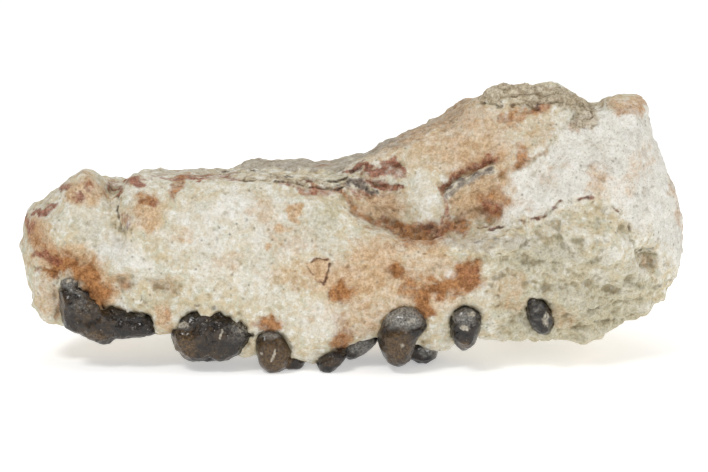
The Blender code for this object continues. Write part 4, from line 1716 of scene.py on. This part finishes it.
# Where each stain shows on the near side: for each strength, its marks.
MARKS = {
    # Chalk is partly pale rock and partly painted light: the rock's right end, made paler as the light
    # there is brighter, and the lit tops of three raised lumps in the crumbling rock.
    Stain.CHALK: {
        0.9: (Patch(((645, 130), (672, 150), (692, 240), (680, 280), (655, 220)), 10.0),
              Blot(451, 275, 6, 6)),
        0.85: (WHITE_ZONE, Streak(RIGHT_SPLINTER_EDGE, 1.3)),
        0.8: (Streak(LEFT_SPLINTER_EDGE, 1.3),),
        0.7: (Blot(614, 254, 12, 8), Blot(598, 276, 10, 7)),
        0.65: (Blot(646, 308, 10, 6),),
        0.6: (Blot(320, 320, 26, 20), Blot(120, 252, 24, 16), Blot(351, 272, 11, 9),
              Blot(525, 245, 14, 6), Blot(300, 244, 14, 9)),
        0.55: (Blot(560, 252, 16, 7),),
        0.5: (Patch(((180, 195), (290, 190), (300, 250), (250, 300), (190, 280), (165, 240)), 26.0),
              Patch(((60, 208), (110, 200), (118, 262), (78, 246)), 12.0), Blot(228, 205, 20, 12),
              Streak(((659, 246), (662, 270)), 3.5), Blot(560, 160, 20, 10), Blot(620, 150, 18, 24),
              Blot(530, 205, 18, 10), Blot(140, 262, 12, 8)),
        0.45: (Blot(424, 190, 14, 24),),
    },
    Stain.GREY: {
        1.0: (Patch(FAR_STRIP, 4.0),),
        0.8: (Streak(RIGHT_SPLINTER, 3.6),),
        0.75: (Patch(((233, 168), (248, 155), (345, 155), (348, 168), (335, 172), (270, 170)), 3.0),),
        0.7: (Streak(LEFT_SPLINTER, 3.6),),
        0.6: (Streak(REAR_NICK, 2.4),),
        0.55: (Streak(((398, 246), (440, 244), (480, 246), (525, 240)), 6.0),),
        0.5: (Patch(((150, 166), (235, 168), (235, 175), (150, 172)), 3.0),),
        0.4: (Blot(600, 165, 24, 14),),
        0.35: (Blot(572, 190, 16, 10), Blot(630, 140, 12, 14)),
        0.3: (Blot(650, 190, 8, 24), Streak(((668, 160), (678, 200), (680, 250)), 5.0)),
    },
    # Olive is partly the rock's own tint and partly painted shade: under the ledges and the bone edge
    # above the second tooth, in the carved hollows, along the top of the deep pit, in the recesses and
    # along the cheek's raised edge.
    Stain.OLIVE: {
        0.85: (Streak(((640, 252), (655, 252)), 4.0),),
        0.65: (Blot(508, 306, 18, 24),),
        0.6: (Patch(((446, 254), (525, 250), (540, 268), (500, 272), (450, 264)), 9.0),
              Streak(((76, 242), (96, 240), (100, 254)), 4.0),
              Patch(((328, 173), (347, 175), (346, 184), (330, 182)), 3.0)),
        0.55: (Patch(ROUGH_ROCK, 18.0), Blot(578, 241, 8, 6), Blot(600, 226, 11, 7, 20),
              Blot(627, 230, 7, 11, -20), Blot(646, 285, 11, 6), Blot(630, 278, 8, 6),
              Blot(592, 262, 9, 5), Blot(556, 240, 10, 7), Blot(596, 292, 16, 7),
              Streak(UPPER_LEDGE, 3.6), Streak(LOWER_LEDGE, 3.6)),
        0.5: (Blot(85, 226, 20, 12), Blot(160, 303, 28, 8),
              Patch(((520, 300), (640, 310), (630, 345), (500, 345)), 14.0), Blot(330, 212, 8, 14)),
        0.45: (Blot(290, 236, 36, 20), Streak(EDGE_LINE, 4.0)),
        0.4: (Patch(FIRST_RECESS, 5.0), Patch(SECOND_RECESS, 5.0), Blot(325, 220, 16, 24),
              Streak(((185, 307), (205, 305), (226, 308)), 4.0), Blot(206, 256, 14, 10)),
        0.35: (Blot(555, 190, 16, 10), Blot(600, 150, 14, 16), Blot(545, 260, 20, 12),
              Blot(250, 262, 30, 14)),
        0.3: (Blot(640, 200, 12, 20),),
    },
    Stain.TAN: {
        1.0: (Patch(DIAMOND, 2.0), Blot(295, 212, 7, 9.5), Blot(280, 228, 5, 5)),
        0.85: (Streak(((56, 260), (76, 260), (92, 272), (103, 296)), 15.0, 0.7),
              Blot(476, 200, 30, 18, -8, 0.7)),
        0.8: (Blot(268, 248, 4, 4), Blot(380, 204, 28, 18, 10, 0.7)),
        0.75: (Blot(146, 214, 20, 22), Patch(((24, 216), (52, 218), (58, 264), (26, 264)), 8.0)),
        0.7: (Patch(((60, 190), (87, 172), (112, 190), (108, 203), (70, 206)), 6.0),
              Patch(((150, 303), (172, 303), (172, 338), (158, 330)), 5.0)),
        0.6: (Patch(ORANGE_CAP, 5.0),
              Patch(((370, 236), (440, 236), (470, 300), (420, 330), (340, 345), (330, 280)), 16.0),
              Blot(647, 260, 8, 6)),
        0.55: (Blot(48, 296, 12, 28),),
        # The two recesses take tan here partly as painted shade.
        0.5: (Patch(DIAMOND, 2.2), Patch(FIRST_RECESS, 4.0), Patch(SECOND_RECESS, 4.0),
              Blot(350, 275, 40, 22), Blot(300, 275, 40, 16), Blot(596, 178, 12, 15),
              Blot(180, 235, 12, 10)),
        0.45: (CHEEK_ZONE, Blot(262, 210, 16, 18), Blot(290, 240, 26, 16), Blot(512, 292, 20, 22)),
        0.4: (Patch(((345, 235), (400, 240), (400, 262), (350, 262)), 8.0), Blot(228, 262, 18, 12),
              Blot(560, 318, 24, 14), Streak(((672, 175), (684, 235)), 5.0)),
        0.35: (Blot(645, 160, 12, 20), Blot(630, 175, 8, 22), Blot(545, 180, 10, 12),
              Patch(((440, 160), (470, 130), (500, 150), (500, 165)), 8.0)),
        0.3: (Blot(610, 190, 26, 14), Blot(560, 165, 16, 10), Blot(520, 205, 14, 8),
              Patch(((400, 130), (470, 100), (520, 150), (500, 200), (440, 172)), 12.0),
              Blot(315, 315, 18, 16)),
    },
    # Rust along the dark band below the cheek is partly painted shade.
    Stain.RUST: {
        1.0: (Streak(((58, 266), (74, 266), (88, 277), (99, 296)), 8.5, 1.1), Blot(120, 316, 7.9, 7),
              Blot(112, 316, 7.5, 7), Blot(467, 278, 17, 19, 0, 0.6), Blot(442, 287, 15, 9, 0, 0.6)),
        0.95: (Blot(343, 291, 11, 13),),
        0.9: (Blot(269, 325, 14, 8), Streak(((424, 298), (427, 315)), 6.0)),
        0.85: (Blot(397, 270, 13, 9),),
        0.75: (Blot(149, 199, 10, 6, 20), Streak(DARK_BAND, 10.0, 0.8)),
        0.7: (Blot(91, 271, 7, 10), Blot(341, 342, 12, 9), Blot(522, 155, 6, 10)),
        0.65: (Streak(((38, 271), (56, 272)), 3.0), Streak(((184, 178), (170, 196)), 5.0),
              Blot(414, 290, 15, 12), Streak(BROWN_DIAGONAL, 5.5, 0.9)),
        0.6: (Blot(168, 315, 5, 7), Blot(496, 212, 11, 12, 0, 0.8)),
        0.5: (Streak(((32, 240), (45, 250), (60, 258)), 9.0, 0.8), Streak(((56, 300), (58, 316)), 3.0),
              Blot(88, 178, 9, 7), Blot(126, 285, 7, 6), Blot(418, 241, 14, 6),
              Streak(((545, 108), (500, 120)), 6.0), Streak(((480, 200), (500, 190), (505, 200)), 5.0),
              Blot(312, 190, 12, 5)),
        0.45: (Streak(((445, 186), (470, 166), (496, 158)), 8.0, 0.8), Blot(580, 124, 14, 9),
              Streak(((500, 176), (520, 166), (545, 150)), 4.0)),
        0.4: (Blot(36, 230, 10, 12), Blot(372, 326, 5, 5)),
        0.35: (Patch(ORANGE_CAP, 5.0), Streak(((338, 318), (345, 335)), 8.0),
              Streak(((318, 165), (334, 163)), 4.0)),
        0.3: (Streak(((512, 109), (530, 112), (556, 112)), 6.0),),
        0.25: (Blot(476, 216, 34, 11, -6, 0.8),),
    },
    # The wine blot on the dark band below the cheek is partly painted shade.
    Stain.WINE: {
        0.9: (Blot(135, 182, 10, 5), Streak(RED_LINE, 2.7)),
        0.85: (Blot(115, 189, 8, 4), Streak(RED_CREASE, 4.0)),
        0.8: (Streak(((37, 212), (46, 209), (55, 207)), 4.5),),
        0.75: (Blot(28, 222, 6, 9), Blot(65, 187, 7, 4, -30), Blot(81, 197, 8, 4),
              Streak(((34, 254), (46, 256), (60, 264)), 5.5),
              Streak(((445, 188), (456, 175), (472, 166), (494, 160)), 3.6, 0.9)),
        0.7: (Blot(196, 177, 8, 4), Streak(ROCK_CRACK, 1.9)),
        0.6: (Blot(230, 177, 12, 5), Blot(287, 183, 9, 4), Blot(372, 180, 12, 5, 20),
              Streak(((370, 170), (384, 173), (400, 172)), 3.6),
              Streak(((300, 187), (318, 192), (340, 191)), 4.0), Blot(492, 207, 12, 8),
              Streak(((443, 192), (445, 218)), 3.0)),
        0.55: (Blot(90, 186, 7, 6), Blot(110, 184, 5, 5), Blot(154, 203, 6, 4)),
        0.5: (Streak(((150, 176), (215, 177)), 3.0), Blot(124, 218, 4, 10),
              Patch(((345, 180), (378, 182), (385, 196), (352, 196)), 5.0), Blot(437, 230, 24, 7),
              Streak(REAR_CRACK, 1.7), Streak(DIAMOND_RIM, 1.8)),
        0.45: (Blot(386, 221, 14, 5), Blot(470, 274, 12, 8)),
        0.4: (Streak(((548, 110), (530, 110)), 3.0),),
        0.35: (Blot(341, 330, 7, 12),),
        0.2: (Blot(394, 204, 12, 10),),
        0.15: (Blot(372, 196, 26, 14),),
    },
    # Char is partly dark cracks, rims and grains and partly painted shade: the dark lines under the
    # ledges, under the bone edge above the second tooth, along the top of the deep pit and on the band
    # below the cheek.
    Stain.CHAR: {
        0.9: (Streak(TOP_CRACK, 1.3),),
        0.85: (Streak(LOWER_CRACK, 1.3),),
        0.75: (Streak(((447, 192), (457, 181), (475, 173), (494, 167)), 1.6),),
        0.6: (Streak(((119, 198), (118, 214), (121, 230)), 1.5), Streak(RED_CREASE, 1.6),
              Streak(((138, 298), (153, 302)), 2.4)),
        0.55: (Streak(DIAMOND_RIM, 1.1), Blot(366, 186, 14, 5, 22),
              Streak(((184, 307), (203, 305), (224, 308)), 2.0),
              Streak(((480, 104), (500, 106), (516, 104)), 1.6)),
        0.5: (Blot(335, 185, 14, 4), Streak(LEFT_SPLINTER, 3.4), Streak(ROCK_CRACK, 1.1),
              Streak(((640, 250), (654, 249)), 2.0),
              Streak(((484, 99), (487, 91), (500, 86), (520, 84)), 1.3),
              Streak(((527, 96), (540, 92), (552, 90), (561, 86)), 1.1), Blot(216, 239, 2.2, 2.2),
              Blot(229, 235, 2.0, 2.0), Blot(246, 221, 1.8, 1.8)),
        0.45: (Blot(126, 230, 3, 4), Streak(REAR_CRACK, 1.1),
              Streak(((590, 309), (606, 305), (622, 299)), 1.6),
              Streak(((575, 326), (600, 320), (620, 319)), 1.6), Streak(((497, 229), (520, 225)), 1.5),
              Streak(((520, 105), (540, 108), (556, 104), (578, 112)), 1.4), Blot(317, 235, 1.8, 1.8),
              Blot(478, 242, 4, 2), Blot(494, 238, 4, 2)),
        0.4: (Streak(((452, 195), (466, 186), (484, 180)), 1.2), Streak(RIGHT_SPLINTER, 3.0),
              Streak(SHORT_CRACK, 1.1), Blot(434, 228, 22, 4),
              Streak(((566, 118), (578, 128), (592, 126)), 1.2),
              Streak(((597, 106), (610, 98), (618, 96)), 1.2), Streak(REAR_NICK, 1.2)),
        0.35: (Streak(((292, 216), (294, 204), (299, 208)), 1.4),),
    },
    Stain.CRUST: {
        0.95: (Patch(TOP_CRUST, 3.0),),
        0.75: (Patch(REAR_CRUST, 3.0), Streak(((244, 176), (290, 179), (326, 184)), 3.5)),
        0.5: (Patch(((592, 102), (608, 97), (616, 104), (605, 110)), 3.0),),
    },
}

# Away from the near side each stain follows noise: the size of its patches in millimetres, where in
# the noise it starts, and its greatest strength.
WILD_STAINS = {
    Stain.CHALK: (11.0, 0.05, 0.6),
    Stain.GREY: (14.0, 0.1, 0.5),
    Stain.OLIVE: (10.0, 0.0, 0.6),
    Stain.TAN: (9.0, 0.12, 0.6),
    Stain.RUST: (8.0, 0.4, 0.55),
    Stain.WINE: (5.0, 0.5, 0.45),
    Stain.CHAR: (3.0, 0.65, 0.4),
    Stain.CRUST: (12.0, 0.45, 0.5),
}


# ---------------------------------------------------------------- teeth


@dataclass
class ToothCrown:
    """One tooth: its CAD copy, grown into its socket, worn and marked."""

    number: int
    voxel: float = 0.17
    swell: float = 0.18
    ripple: float = 0.12
    chipping: float = 0.16
    sparkle: float = 0.6
    wander: float = 1.6
    smoothing: int = 7
    # Each tint's marks, as strength and mark: amber, a painted sheen where the tops reflect the lights,
    # and pale flecks that are partly painted glints.
    amber: tuple = ()
    painted_sheen: tuple = ()
    fleck_and_glint: tuple = ()
    carvings: tuple = ()

    def build(self, finish: bpy.types.Material) -> bpy.types.Object:
        """Builds the tooth, hangs it on the frame and returns it.

        Args:
            finish: the enamel.

        Returns:
            The finished tooth.
        """
        node = f"tooth_{self.number}"
        crown = copy_of(node, f"enamel_crown_{self.number}")
        grow(crown, self.swell)
        apply(crown, "REMESH", mode="VOXEL", voxel_size=self.voxel * MM)
        apply(crown, "SMOOTH", factor=0.5, iterations=self.smoothing)
        points, normals = points_of(crown), normals_of(crown)
        at = PHOTO.pixels(points) + self.wander * noise_columns(points, 1.4, 2, 61, 62)
        near = PHOTO.facing(normals)
        rise = self.ripple * layered_noise(points / 2.0, 3, 70 + self.number, 0.6)
        rise += self.chipping * ridges(points / 2.8, 2, 90 + self.number)
        rise -= self.ripple * pits(points, 1.4, 0.35, 80 + self.number)
        for height, mark in self.carvings:
            rise += height * near * cover_of(mark, at)
        set_points(crown, points + normals * rise[:, None])
        for name, start, marks in (("amber", 0.05, self.amber), ("painted_sheen", 0.05, self.painted_sheen),
                                   ("fleck_and_glint", 0.0, self.fleck_and_glint)):
            bare = np.full(len(points), 1.0 - start)
            for strength, mark in marks:
                bare *= 1 - strength * near * cover_of(mark, at)
            set_mask(crown, name, 1 - bare)
        set_mask(crown, "sparkle", np.full(len(points), self.sparkle))
        attach(crown, "enamel", finish, node)
        return crown


# Each tooth's painted sheen stands for the reflections on its lit tops; its flecks are partly painted
# glints.
TEETH = (
    ToothCrown(1, chipping=0.24,
        amber=((0.4, Blot(92, 316, 26, 22)), (0.6, Blot(97, 336, 16, 5, 10)),
               (0.5, Blot(64, 302, 4, 12))),
        painted_sheen=((1.0, Blot(69, 279, 9, 7)), (0.5, Blot(76, 290, 13, 4, 15)),
               (0.3, Blot(82, 304, 16, 10)), (0.5, Blot(140, 314, 6, 4))),
        fleck_and_glint=((0.8, Blot(68, 280, 3, 2)), (0.7, Blot(76, 281, 2, 1.5)), (0.15, Blot(84, 308, 10, 8)),
               (0.6, Blot(141, 314, 3, 1.5))),
        carvings=((-0.5, Streak(((62, 288), (76, 285), (92, 296), (104, 306)), 2.2)),
                  (0.3, Blot(78, 306, 12, 10)),
                  (-0.4, Streak(((104, 308), (120, 322), (140, 322)), 2.5)),
                  (-0.3, Streak(((92, 310), (98, 326), (106, 336)), 3.0)), (0.3, Blot(96, 330, 9, 6)))),
    ToothCrown(2, chipping=0.24,
        amber=((1.0, Blot(184, 346, 11, 13)), (0.3, Blot(210, 336, 30, 22)),
               (0.3, Blot(215, 356, 20, 4))),
        painted_sheen=((0.5, Blot(180, 325, 10, 5)), (0.25, Blot(236, 334, 14, 10))),
        fleck_and_glint=((0.6, Blot(182, 325, 7, 3)), (0.8, Streak(((222, 331), (220, 339)), 1.3)),
               (0.3, Blot(240, 328, 11, 9))),
        carvings=((-0.25, Streak(((172, 328), (190, 332), (200, 322), (220, 316)), 2.5)),
                  (-0.4, Streak(((205, 330), (212, 345), (210, 358)), 3.0)),
                  (0.3, Blot(236, 332, 12, 12)), (0.3, Blot(190, 342, 12, 12)))),
    ToothCrown(3, ripple=0.06, chipping=0.08, sparkle=0.1,
        amber=((1.0, Blot(274, 360, 17, 12)), (0.6, Blot(274, 348, 18, 16))),
        painted_sheen=((0.6, Blot(272, 334, 12, 5)),),
        fleck_and_glint=((0.7, Streak(((276, 350), (272, 361)), 1.0)), (0.6, Blot(262, 354, 1.5, 1.5)))),
    ToothCrown(4,
        amber=((0.5, Blot(330, 362, 10, 5)),),
        painted_sheen=((0.7, Blot(362, 346, 16, 10)),),
        fleck_and_glint=((0.5, Blot(330, 350, 8, 3)), (0.6, Blot(347, 345, 4, 3)))),
    ToothCrown(5, ripple=0.09, chipping=0.12, sparkle=0.2,
        amber=((0.9, Blot(398, 346, 15, 18)),),
        painted_sheen=((1.0, Blot(404, 316, 22, 12)), (0.6, Blot(428, 352, 10, 6))),
        fleck_and_glint=((0.5, Blot(398, 309, 7, 2)), (0.5, Blot(411, 321, 5, 2)), (0.4, Blot(402, 346, 3, 3))),
        carvings=((0.3, Blot(404, 316, 18, 9)),
                  (-0.4, Streak(((384, 332), (400, 330), (420, 326)), 2.5)))),
    ToothCrown(6,
        amber=((0.75, Blot(464, 346, 7, 6)),),
        painted_sheen=((0.7, Blot(464, 318, 13, 10)),),
        fleck_and_glint=((0.85, Blot(465, 328, 5, 3)), (0.8, Blot(471, 314, 4, 2.5))),
        carvings=((-0.35, Streak(((452, 322), (464, 324), (478, 318)), 2.2)),)),
    ToothCrown(7, ripple=0.2, chipping=0.2,
        painted_sheen=((0.3, Blot(538, 306, 8, 16)),),
        fleck_and_glint=((0.6, Blot(546, 320, 3, 7)),)),
)


# ---------------------------------------------------------------- studio


WHITE = (1.0, 1.0, 1.0, 1.0)

# The soft lights: the name, the place and the length of a side in metres, and the power in watts.
LIGHTS = (
    ("key light", (-0.35, -0.4, 0.75), 0.24, 2.9),
    ("front fill", (0.55, -0.8, 0.35), 0.4, 0.9),
    ("right fill", (0.85, -0.3, 0.5), 0.5, 1.9),
    ("glint lamp", (0.15, -0.85, 0.2), 0.12, 0.7),
    ("overhead", (0.1, 0.3, 0.9), 0.8, 3.3),
)


@dataclass
class Studio:
    """The plain pale floor, the soft light and the camera."""

    floor_size: float = 6.0
    floor_tint: str = "f4f4f3"
    sky: float = 0.22
    glow: float = 0.42

    def build_floor(self) -> None:
        """Lays the plain pale floor, which glows a little as lit paper does."""
        bpy.ops.object.select_all(action="DESELECT")
        bpy.ops.mesh.primitive_plane_add(size=self.floor_size, location=(0, 0, 0))
        floor = bpy.context.object
        floor.name = "floor"
        made, graph, shader = new_material("white paper")
        fibre = graph.noise(graph.add("TexCoord").outputs["Object"], 900.0, 2.0)
        paper = graph.blend(fibre, tint(self.floor_tint), tint("fafaf9"))
        graph.fill(shader, {"Base Color": paper, "Roughness": 0.9, "Specular IOR Level": 0.2,
                            "Emission Color": WHITE, "Emission Strength": self.glow})
        floor.data.materials.append(made)

    def soft_light(self, name: str, place: tuple, size: float, power: float) -> None:
        """Hangs a square soft light that looks at the jaw.

        Args:
            name: what it is called.
            place: where it hangs, in metres.
            size: the length of its sides, in metres.
            power: its power in watts.
        """
        light = bpy.data.lights.new(name, "AREA")
        light.size, light.energy = size, power
        lamp = place_in_scene(name, light)
        lamp.location = place
        lamp.rotation_euler = (Vector((0, 0, 0.02)) - Vector(place)).to_track_quat("-Z", "Y").to_euler()

    def build_lights(self) -> None:
        """Hangs the lights and sets the even light of the room."""
        for light in LIGHTS:
            self.soft_light(*light)
        world = bpy.data.worlds.new("studio")
        bpy.context.scene.world = world
        world.use_nodes = True
        room = world.node_tree.nodes["Background"].inputs
        room["Color"].default_value, room["Strength"].default_value = WHITE, self.sky

    def build_camera(self) -> None:
        """Stands the camera where the photograph was taken from."""
        data = bpy.data.cameras.new("camera")
        data.lens, data.sensor_width = PHOTO.lens, PHOTO.sensor
        data.clip_start, data.clip_end = 0.02, 20.0
        camera = place_in_scene("camera", data)
        camera.location = PHOTO.eye * MM
        camera.rotation_euler = Vector(-PHOTO.back).to_track_quat("-Z", "Y").to_euler()
        bpy.context.scene.camera = camera
        bpy.context.scene.view_settings.view_transform = "Standard"


def main() -> None:
    """Builds every piece of the jaw, then the studio."""
    logging.basicConfig(level=logging.INFO, format="%(message)s")
    effects = SharedEffects()
    bone = StoneFinish("weathered bone").material(effects)
    rock = StoneFinish("sandstone", dirt_and_shade="a89d82", dirt_and_shade_share=0.55, speck_share=0.4).material(effects)
    enamel = EnamelFinish("fossil enamel").material(effects)
    crowns = [crown.build(enamel) for crown in TEETH]
    JawAndRock().build(bone, rock, crowns)
    studio = Studio()
    studio.build_floor()
    studio.build_lights()
    studio.build_camera()


if __name__ == "__main__":
    main()
